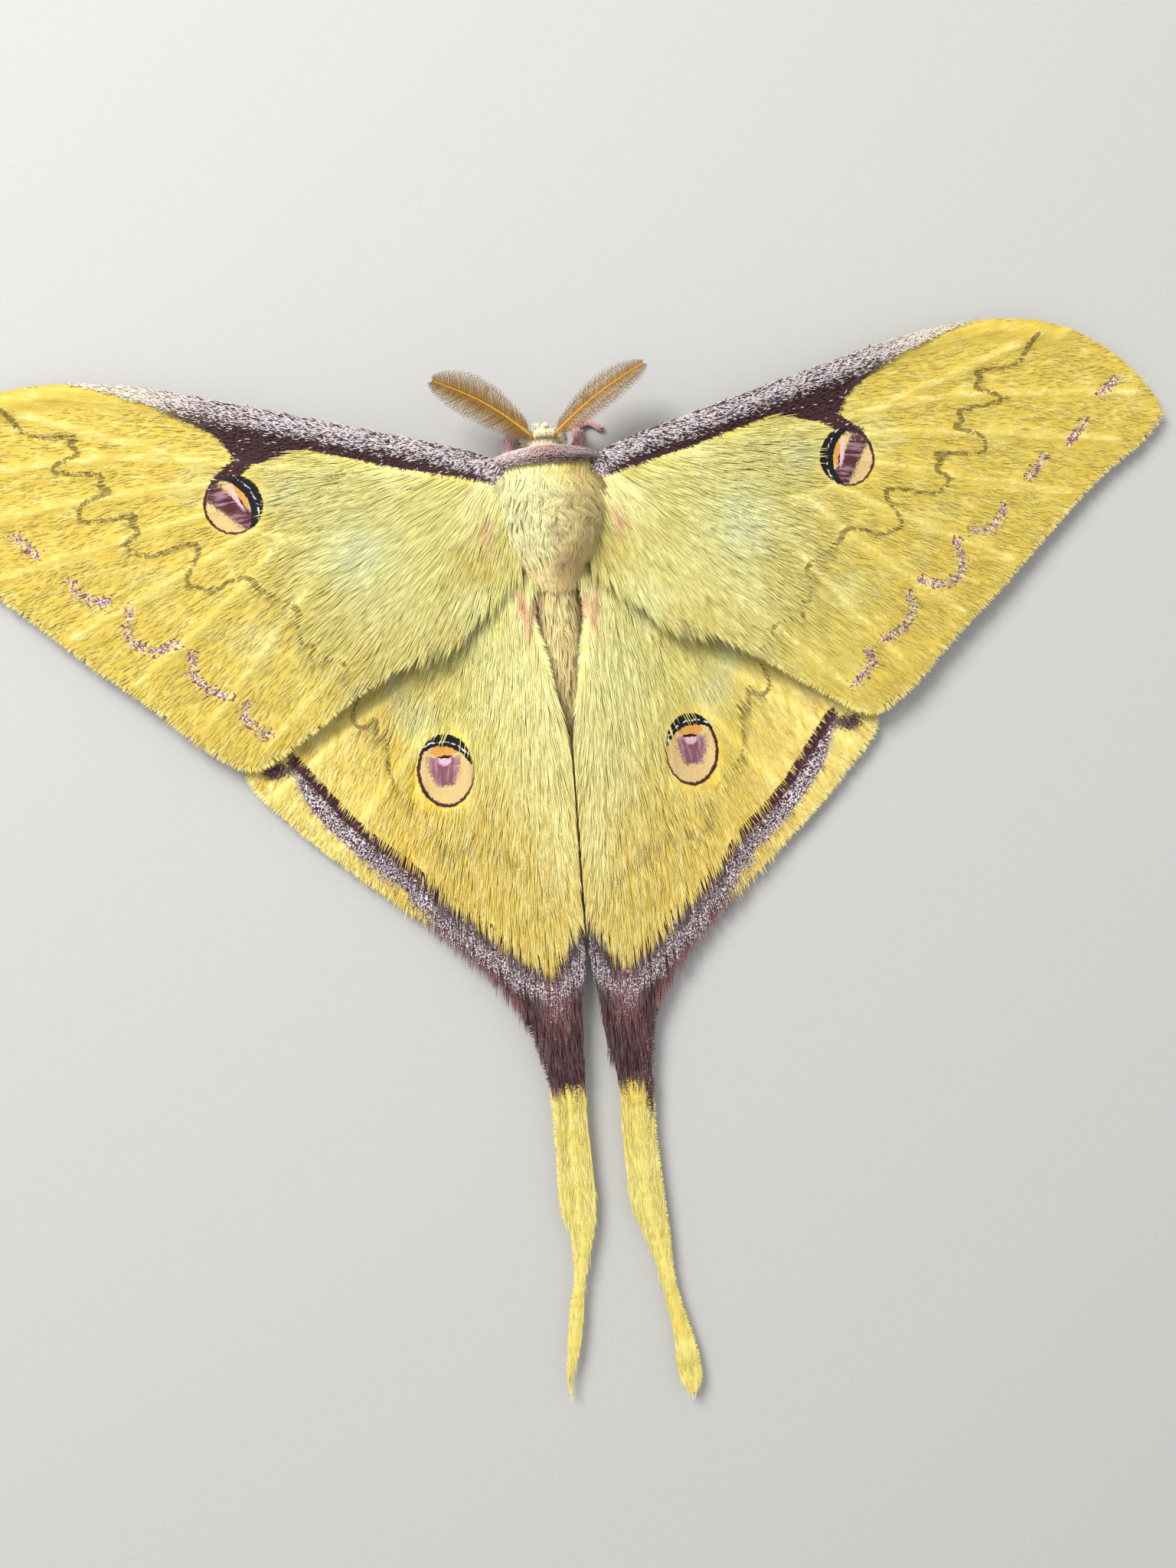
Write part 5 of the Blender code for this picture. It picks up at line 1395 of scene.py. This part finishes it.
        # The longer hair bridges the gap to the abdomen.
        inner = curve(HIND_INNER[4:], 20)
        for wing, kind, line, reach, drop in (("forewing", "_fringe", fore, 0.4, 0.0),
                                              ("hindwing", "_fringe", hind, 0.4, 0.0),
                                              ("hindwing", "_inner_fringe", inner, 0.6, 0.9)):
            number = coat.fringe_tufts // (2 if drop else 1)
            run = np.append(0.0, np.cumsum(np.hypot(*np.diff(line, axis=0).T)))

            def on_line(at, line=line, run=run):
                return np.column_stack([np.interp(at, run, line[:, k]) for k in (0, 1)])

            at = np.sort(rng.uniform(0.0, run[-1], number))
            start = on_line(at)
            ahead = on_line(at + 0.2) - on_line(at - 0.2)
            away = unit(np.column_stack([ahead[:, 1], -ahead[:, 0]]))
            size = reach * rng.uniform(0.6, 1.4, number)
            size = size * np.interp(start[:, 1], [-8.0, 44.0, 60.0], [1.0, 1.0, 0.4])
            if drop:
                size = size * (0.15 + 0.85 * ramp(start[:, 1], 15.0, 10.0))
            lean = rng.normal(-drop, 0.08 + drop / 4, (number, 1))
            end = start + away * size[:, None] + unit(ahead) * lean
            start = start - away * 0.25
            paths, outs = wing_paths(start, end, WING_TOPS[wing], np.full(number, 0.02), side)
            paths[..., 2] -= 0.08 + 0.5 * drop * np.array([0.0, 0.4, 1.0])
            marks = self.marks_at(wing, start, forewing_flow(start))
            hair(wing + "_" + name + kind, paths, outs, np.full(number, 0.05), 0.5,
                 bpy.data.materials["Moth " + wing + " scales"], "wing_scales", marks,
                 wing_unwrap(start, side, wing), rng)

    def marks_at(self, wing, start, flow):
        """What the wing shows where each hair starts, apart from the eyespot."""
        marks = WING_MARKS[wing](start)
        marks["ring"] = np.full((len(start), 3), NO_SPOT)
        marks["flow"] = flow_place(start, flow)
        return marks

    def finish(self, coat, wing, name, start, paths, outs, size, side, rng):
        """The coat piece of one wing along these paths, in the wing's own colours."""
        marks = self.marks_at(wing, start, WING_FLOWS[wing](start))
        width = coat.hair_width / MM * np.interp(size, [0.5, 3.0], [0.75, 1.0])
        width = width * rng.uniform(0.7, 1.25, len(start))
        shade = 0.22 * waves(start, 14, 1.6) * np.interp(size, [0.6, 2.0], [0.6, 1.0])
        hair(wing + "_" + name, paths, outs, width, 0.6, bpy.data.materials["Moth " + wing + " scales"],
             "wing_scales", marks, wing_unwrap(start, side, wing), rng, 0.24, shade)


class MOTH_OT_feelers(bpy.types.Operator):
    """Makes the feathered feelers with their rays and the fine hairs on them"""

    bl_idname = "moth.feelers"
    bl_label = "Feelers"

    def execute(self, context):
        parts = context.scene.moth_parts
        horn, tree, shader = new_material("Moth feeler horn", 0.5, 0.1)
        # Fine scales about 0.1 mm long make the horn look dusty.
        dust = noise(tree, object_place(tree), 0.1, 2.0)
        tone = add(tree, "ShaderNodeMapRange", {0: dust.outputs[0], 1: 0.3, 2: 0.7, 3: 0.7, 4: 1.25})
        shade = add(tree, "ShaderNodeVectorMath", {0: attribute(tree, "tint", "Color"),
                                                   "Scale": tone.outputs[0]}, operation="SCALE")
        tree.links.new(shade.outputs[0], shader.inputs["Base Color"])
        for name, side in SIDES.items():
            self.one(parts, horn, name, side)
        return {"FINISHED"}

    def one(self, parts, material, name, side):
        """One feeler: its shaft, four rows of rays and the hairs along them, in one mesh."""
        rng = np.random.default_rng(61 + side)
        flip = np.array([side, 1, 1])
        base = np.array(FEELERS[name]["base"]) * flip
        tip = np.array(FEELERS[name]["tip"]) * flip
        along = unit(tip - base)
        flat = unit(np.cross(along, (0, 0, 1)))
        roll = math.radians(FEELERS[name]["roll"]) * side
        across = flat * math.cos(roll) + np.cross(along, flat) * math.sin(roll)
        up = np.cross(across, along)
        reach = np.linalg.norm(tip - base)
        bow = FEELERS[name]["bow"]
        comb, horn = np.array(parts.comb), np.array(parts.horn)

        def shaft(t):
            t = np.asarray(t)[..., None]
            return base + along * reach * t + across * bow * side * np.sin(math.pi * t)

        t = np.linspace(0, 1, SHAFT_STATIONS)
        line = np.vstack([np.array(SCAPE) * flip, shaft(t)])
        size = parts.shaft / MM * np.append(1.5, 1.0 - 0.62 * t)[:-1]
        size = size * (1 + 0.1 * np.sin(np.arange(SHAFT_STATIONS) * 2.1))
        ups = np.broadcast_to(up, line.shape)[None]
        points, faces, _ = strands(line[None], ups, size[None], size[None], 8)
        pieces = [(points, faces, np.tile(horn, (len(points), 1)))]
        number = parts.segments
        at = np.linspace(0.03, 0.985, number)
        k = np.linspace(0, 1, RAY_STATIONS)
        bend = (0.6 * k + 0.4 * k ** 2)[None, :, None]
        rays = []
        for way, lift in ((1, 0.12), (-1, 0.12), (1, -0.25), (-1, -0.25)):
            profile = np.sin(math.pi * (0.08 + 0.91 * at)) ** 0.62
            long = parts.ray_reach / MM * profile * rng.uniform(0.94, 1.05, number)
            lean = 0.66 + rng.normal(0, 0.025, number)
            shift = 0.0 if lift > 0 else 0.5 / number
            root = shaft(at + shift)[:, None]
            rays.append(root + long[:, None, None] * (across * way * k[None, :, None]
                                                      + along * lean[:, None, None] * bend
                                                      + up * lift * (k ** 1.5)[None, :, None] * 0.5))
        rays = np.concatenate(rays)
        thin = parts.ray / MM * np.linspace(1.0, 0.45, RAY_STATIONS - 1)
        wide = np.broadcast_to(thin, (len(rays), RAY_STATIONS - 1))
        points, faces, each = strands(rays, np.broadcast_to(up, rays.shape), wide, wide, 4)
        tint = mixed(comb, horn, rng.uniform(0, 0.55, len(rays)))
        pieces.append((points, faces, np.tile(tint, (1, each)).reshape(-1, 3)))
        # Fine hairs along every ray close the gaps between them.
        share = (np.arange(RAY_HAIRS) + 0.5) / RAY_HAIRS
        start = np.stack([np.stack([np.interp(share, k, ray[:, axis]) for axis in range(3)], 1)
                          for ray in rays]).reshape(-1, 3)
        ahead = unit(rays[:, -1] - rays[:, 0])[:, None].repeat(RAY_HAIRS, 1).reshape(-1, 3)
        sign = np.where(np.arange(len(start)) % 2, 1.0, -1.0)[:, None]
        stray = rng.normal(0, 0.12, start.shape)
        lie = unit(ahead + sign * np.cross(ahead, up) * 1.1 + stray)
        paths = start[:, None] + lie[:, None] * RAY_HAIR_LENGTH * np.array([0.0, 1.0])[None, :, None]
        wide = np.full((len(paths), 1), RAY_HAIR_RADIUS)
        points, faces, _ = strands(paths, np.broadcast_to(up, paths.shape), wide, wide, 3)
        pieces.append((points, faces[:1] + faces[2:], np.tile(comb * 1.15, (len(points), 1))))
        where, all_faces, tints = [], [], []
        offset = 0
        for points, faces, tint in pieces:
            where.append(points)
            all_faces += [rows + offset for rows in faces if len(rows)]
            tints.append(tint)
            offset += len(points)
        obj = new_object("antenna_" + name + "_feathered", np.vstack(where), all_faces, material,
                         {"tint": opaque(np.vstack(tints))})
        place_piece(obj, "feeler_horn", "antenna_" + name)


class MOTH_OT_eyes(bpy.types.Operator):
    """Makes the two faceted eyes"""

    bl_idname = "moth.eyes"
    bl_label = "Eyes"

    def execute(self, context):
        parts = context.scene.moth_parts
        lens, tree, shader = new_material("Chitin lens", 0.16)
        shader.inputs["Specular IOR Level"].default_value = 0.5
        # Real facets are 0.03 mm across. They are drawn at 0.07 mm, so that the eye still looks grained.
        cells = add(tree, "ShaderNodeTexVoronoi", {"Vector": object_place(tree), "Scale": 1 / (0.07 * MM)})
        shade = add(tree, "ShaderNodeMapRange", {0: cells.outputs["Distance"], 1: 0.2, 2: 0.7})
        mix = add(tree, "ShaderNodeMix", {0: shade.outputs[0], 6: (*parts.eye, 1.0), 7: FACET_GAP},
                  data_type="RGBA")
        tree.links.new(mix.outputs[2], shader.inputs["Base Color"])
        bump = add(tree, "ShaderNodeBump", {"Height": cells.outputs["Distance"], "Distance": 0.01 * MM,
                                            "Strength": 0.6}, invert=True)
        tree.links.new(bump.outputs[0], shader.inputs["Normal"])
        turns = np.linspace(0, math.tau, EYE_SIDES + 1)[:-1]
        turn, high = np.meshgrid(turns, np.linspace(-1.5, 1.5, EYE_RINGS))
        shape = np.stack([np.cos(high) * np.cos(turn), np.cos(high) * np.sin(turn), np.sin(high)], -1)
        shape = shape.reshape(-1, 3) * parts.eye_radius / MM * EYE_SHAPE
        for name, side in SIDES.items():
            points = shape + np.array(EYE_CENTRE) * (side, 1, 1)
            obj = new_object("eye_" + name + "_lens", points, tube_faces(EYE_RINGS, EYE_SIDES), lens)
            place_piece(obj, "eye_lens", "eye_" + name)
        return {"FINISHED"}


class MOTH_OT_legs(bpy.types.Operator):
    """Makes the six legs with their claws and the pink down on them"""

    bl_idname = "moth.legs"
    bl_label = "Legs"

    def execute(self, context):
        coat = context.scene.moth_coat
        parts = context.scene.moth_parts
        material = hair_material("Moth leg scales", 0.6, 0.25)
        rng = np.random.default_rng(71)
        lines = []
        for key in ("foreleg", "midleg", "hindleg"):
            for name, side in SIDES.items():
                rows = curve(LEGS.get(key + "_" + name) or LEGS[key], 8) * (side, 1, 1, 1)
                lines.append(rows)
                joint = np.arange(len(rows) - 1)
                # The thin foot is ringed, the rest of the leg is smooth.
                ringed = 1 + 0.14 * np.sin(joint * 2.0)
                size = rows[:-1, 3] * 0.82 * np.where(rows[:-1, 3] < 0.36, ringed, 1.0)
                middle = rows[:, :3].copy()
                middle[:, 2] = np.maximum(middle[:, 2], rows[:, 3] * 0.85)
                points, faces, _ = strands(middle[None], np.tile((0.0, 0.0, 1.0), (1, len(rows), 1)),
                                           size[None], size[None], 12)
                claws = self.claws(middle)
                offset = len(points)
                tint = np.vstack([np.tile(np.array(coat.down) * 0.8, (len(points), 1)),
                                  np.tile(parts.claw, (len(claws[0]), 1))])
                points = np.vstack([points, claws[0]])
                points[:, 2] = np.maximum(points[:, 2], 0.0)
                faces += [part + offset for part in claws[1]]
                marks = {"tint": opaque(tint), "strand": np.tile((0.0, 0.5, 1.0), (len(points), 1))}
                obj = new_object(key + "_" + name + "_scaled", points, faces, material, marks)
                place_piece(obj, "leg_scales", key + "_" + name)
        self.down(coat, material, lines, rng)
        return {"FINISHED"}

    def claws(self, middle):
        """Two curved claws at the end of a leg."""
        ahead = unit(middle[-1] - middle[-4]) * (1, 1, 0)
        aside = np.cross(ahead, (0, 0, 1))
        k = np.linspace(0, 1, 5)[:, None]
        paths = np.stack([middle[-2] + ahead * 0.4 * k + aside * way * (0.08 + 0.16 * k)
                          + np.array([0, 0, 0.1]) * np.sin(math.pi * k) - np.array([0, 0, 0.12]) * k
                          for way in (1, -1)])
        wide = np.broadcast_to(np.linspace(0.06, 0.025, 4), (2, 4))
        points, faces, _ = strands(paths, np.broadcast_to((0.0, 0.0, 1.0), paths.shape), wide, wide, 5)
        return points, faces

    def down(self, coat, material, lines, rng):
        """Short hair all round the legs, in one piece."""
        each = coat.leg_tufts // len(lines)
        paths, roots = [], []
        for index, rows in enumerate(lines):
            at = rng.uniform(4, len(rows) - 2, each)
            place = np.column_stack([np.interp(at, np.arange(len(rows)), rows[:, k]) for k in range(4)])
            later = np.column_stack([np.interp(at + 1, np.arange(len(rows)), rows[:, k]) for k in range(3)])
            ahead = unit(later - place[:, :3])
            turn = rng.uniform(0, math.tau, each)
            flat = unit(np.cross(ahead, (0.0, 0.0, 1.0)))
            out = flat * np.cos(turn)[:, None] + np.cross(flat, ahead) * np.sin(turn)[:, None]
            long = rng.uniform(0.35, 0.75, each) * np.interp(place[:, 3], [0.27, 0.5], [0.5, 1.2])
            root = place[:, :3] + out * (place[:, 3] * 0.75)[:, None]
            t = STATIONS[3][None, :, None]
            path = root[:, None] + (ahead[:, None] + out[:, None] * 0.3) * t * long[:, None, None]
            path[..., 2] = np.maximum(path[..., 2], 0.04)
            paths.append(path)
            column = (index + 0.2 + 0.6 * turn / math.tau) / len(lines)
            roots.append(np.column_stack([column, at / len(rows)]))
        paths = np.vstack(paths)
        outs = np.zeros_like(paths)
        outs[..., 2] = 1.0
        tint = mixed(coat.down, coat.frost, rng.uniform(0, 0.6, len(paths)))
        hair("leg_down", paths, outs, rng.uniform(0.03, 0.05, len(paths)), 0.6, material, "leg_scales",
             {"tint": opaque(tint)}, np.vstack(roots), rng)


class MOTH_OT_stage(bpy.types.Operator):
    """Makes the plain floor, the soft light and the camera"""

    bl_idname = "moth.stage"
    bl_label = "Stage"

    def execute(self, context):
        stage = context.scene.moth_stage
        floor_material, tree, shader = new_material("Matt paper floor", 0.85)
        # Paper fibre about 0.4 mm long, barely seen.
        fibre = noise(tree, object_place(tree), 0.4, 3.0)
        tone = add(tree, "ShaderNodeMapRange", {0: fibre.outputs[0], 3: 0.96, 4: 1.04})
        shade = add(tree, "ShaderNodeVectorMath", {0: tuple(stage.floor), "Scale": tone.outputs[0]},
                    operation="SCALE")
        tree.links.new(shade.outputs[0], shader.inputs["Base Color"])
        corners = np.array([(-1, -1, 0), (1, -1, 0), (1, 1, 0), (-1, 1, 0)]) * FLOOR_HALF
        floor = new_object("paper_floor", corners, [np.array([[0, 1, 2, 3]])], floor_material)

        scene = context.scene
        scene.world = scene.world or bpy.data.worlds.new("Studio")
        scene.world.use_nodes = True
        light = scene.world.node_tree.nodes["Background"]
        light.inputs["Color"].default_value = (0.95, 0.97, 1.0, 1.0)
        light.inputs["Strength"].default_value = stage.fill
        scene.view_settings.view_transform = "Standard"

        target = Vector(VIEW_TARGET) * MM
        left = Vector((math.cos(VIEW_TURN), -math.sin(VIEW_TURN), 0.0))
        upward = Vector((-math.sin(VIEW_TURN), -math.cos(VIEW_TURN), 0.0))
        lamp = bpy.data.lights.new("key", "AREA")
        lamp.shape = "DISK"
        lamp.size = 0.22
        lamp.energy = stage.key_power
        key = bpy.data.objects.new("key_light", lamp)
        key.location = target + (left * 0.55 + upward * 0.6 + Vector((0, 0, 0.75))) * 0.4
        key.rotation_mode = "QUATERNION"
        key.rotation_quaternion = (target - key.location).to_track_quat("-Z", "Y")
        scene.collection.objects.link(key)

        data = bpy.data.cameras.new("camera")
        data.sensor_width = 36.0
        data.lens = data.sensor_width * VIEW_HEIGHT / VIEW_LONG_SIDE
        data.clip_start = 0.005
        data.clip_end = 10.0
        camera = bpy.data.objects.new("camera", data)
        away = Vector((0, 0, 1)) * math.cos(VIEW_TILT) + left * math.sin(VIEW_TILT)
        camera.location = target + away * VIEW_HEIGHT * MM
        camera.rotation_mode = "QUATERNION"
        side = upward.cross(away).normalized()
        lens_up = away.cross(side).normalized()
        camera.rotation_quaternion = Matrix((side, lens_up, away)).transposed().to_quaternion()
        scene.collection.objects.link(camera)
        scene.camera = camera
        return {"FINISHED"}


class MOTH_PT_panel(bpy.types.Panel):
    """Lists the moth's pieces and their settings in the sidebar"""

    bl_idname = "MOTH_PT_panel"
    bl_label = "Yellow moon moth"
    bl_space_type = "VIEW_3D"
    bl_region_type = "UI"
    bl_category = "Moth"

    def draw(self, context):
        for operator in OPERATORS:
            self.layout.operator(operator.bl_idname)
        for group in GROUPS:
            box = self.layout.box()
            for name in GROUPS[group].__annotations__:
                box.prop(getattr(context.scene, group), name)


GROUPS = {"moth_wings": MothWings, "moth_coat": MothCoat, "moth_parts": MothParts, "moth_stage": MothStage}
OPERATORS = (MOTH_OT_forewings, MOTH_OT_hindwings, MOTH_OT_body, MOTH_OT_coat, MOTH_OT_wing_hair,
             MOTH_OT_feelers, MOTH_OT_eyes, MOTH_OT_legs, MOTH_OT_stage)


def register():
    for cls in (*GROUPS.values(), *OPERATORS, MOTH_PT_panel):
        bpy.utils.register_class(cls)
    for name, cls in GROUPS.items():
        setattr(bpy.types.Scene, name, PointerProperty(type=cls))


def unregister():
    for name in GROUPS:
        delattr(bpy.types.Scene, name)
    for cls in (MOTH_PT_panel, *reversed(OPERATORS), *reversed(GROUPS.values())):
        bpy.utils.unregister_class(cls)


def main():
    register()
    bpy.ops.moth.forewings()
    bpy.ops.moth.hindwings()
    bpy.ops.moth.body()
    bpy.ops.moth.coat()
    bpy.ops.moth.wing_hair()
    bpy.ops.moth.feelers()
    bpy.ops.moth.eyes()
    bpy.ops.moth.legs()
    bpy.ops.moth.stage()


if __name__ == "__main__":
    main()
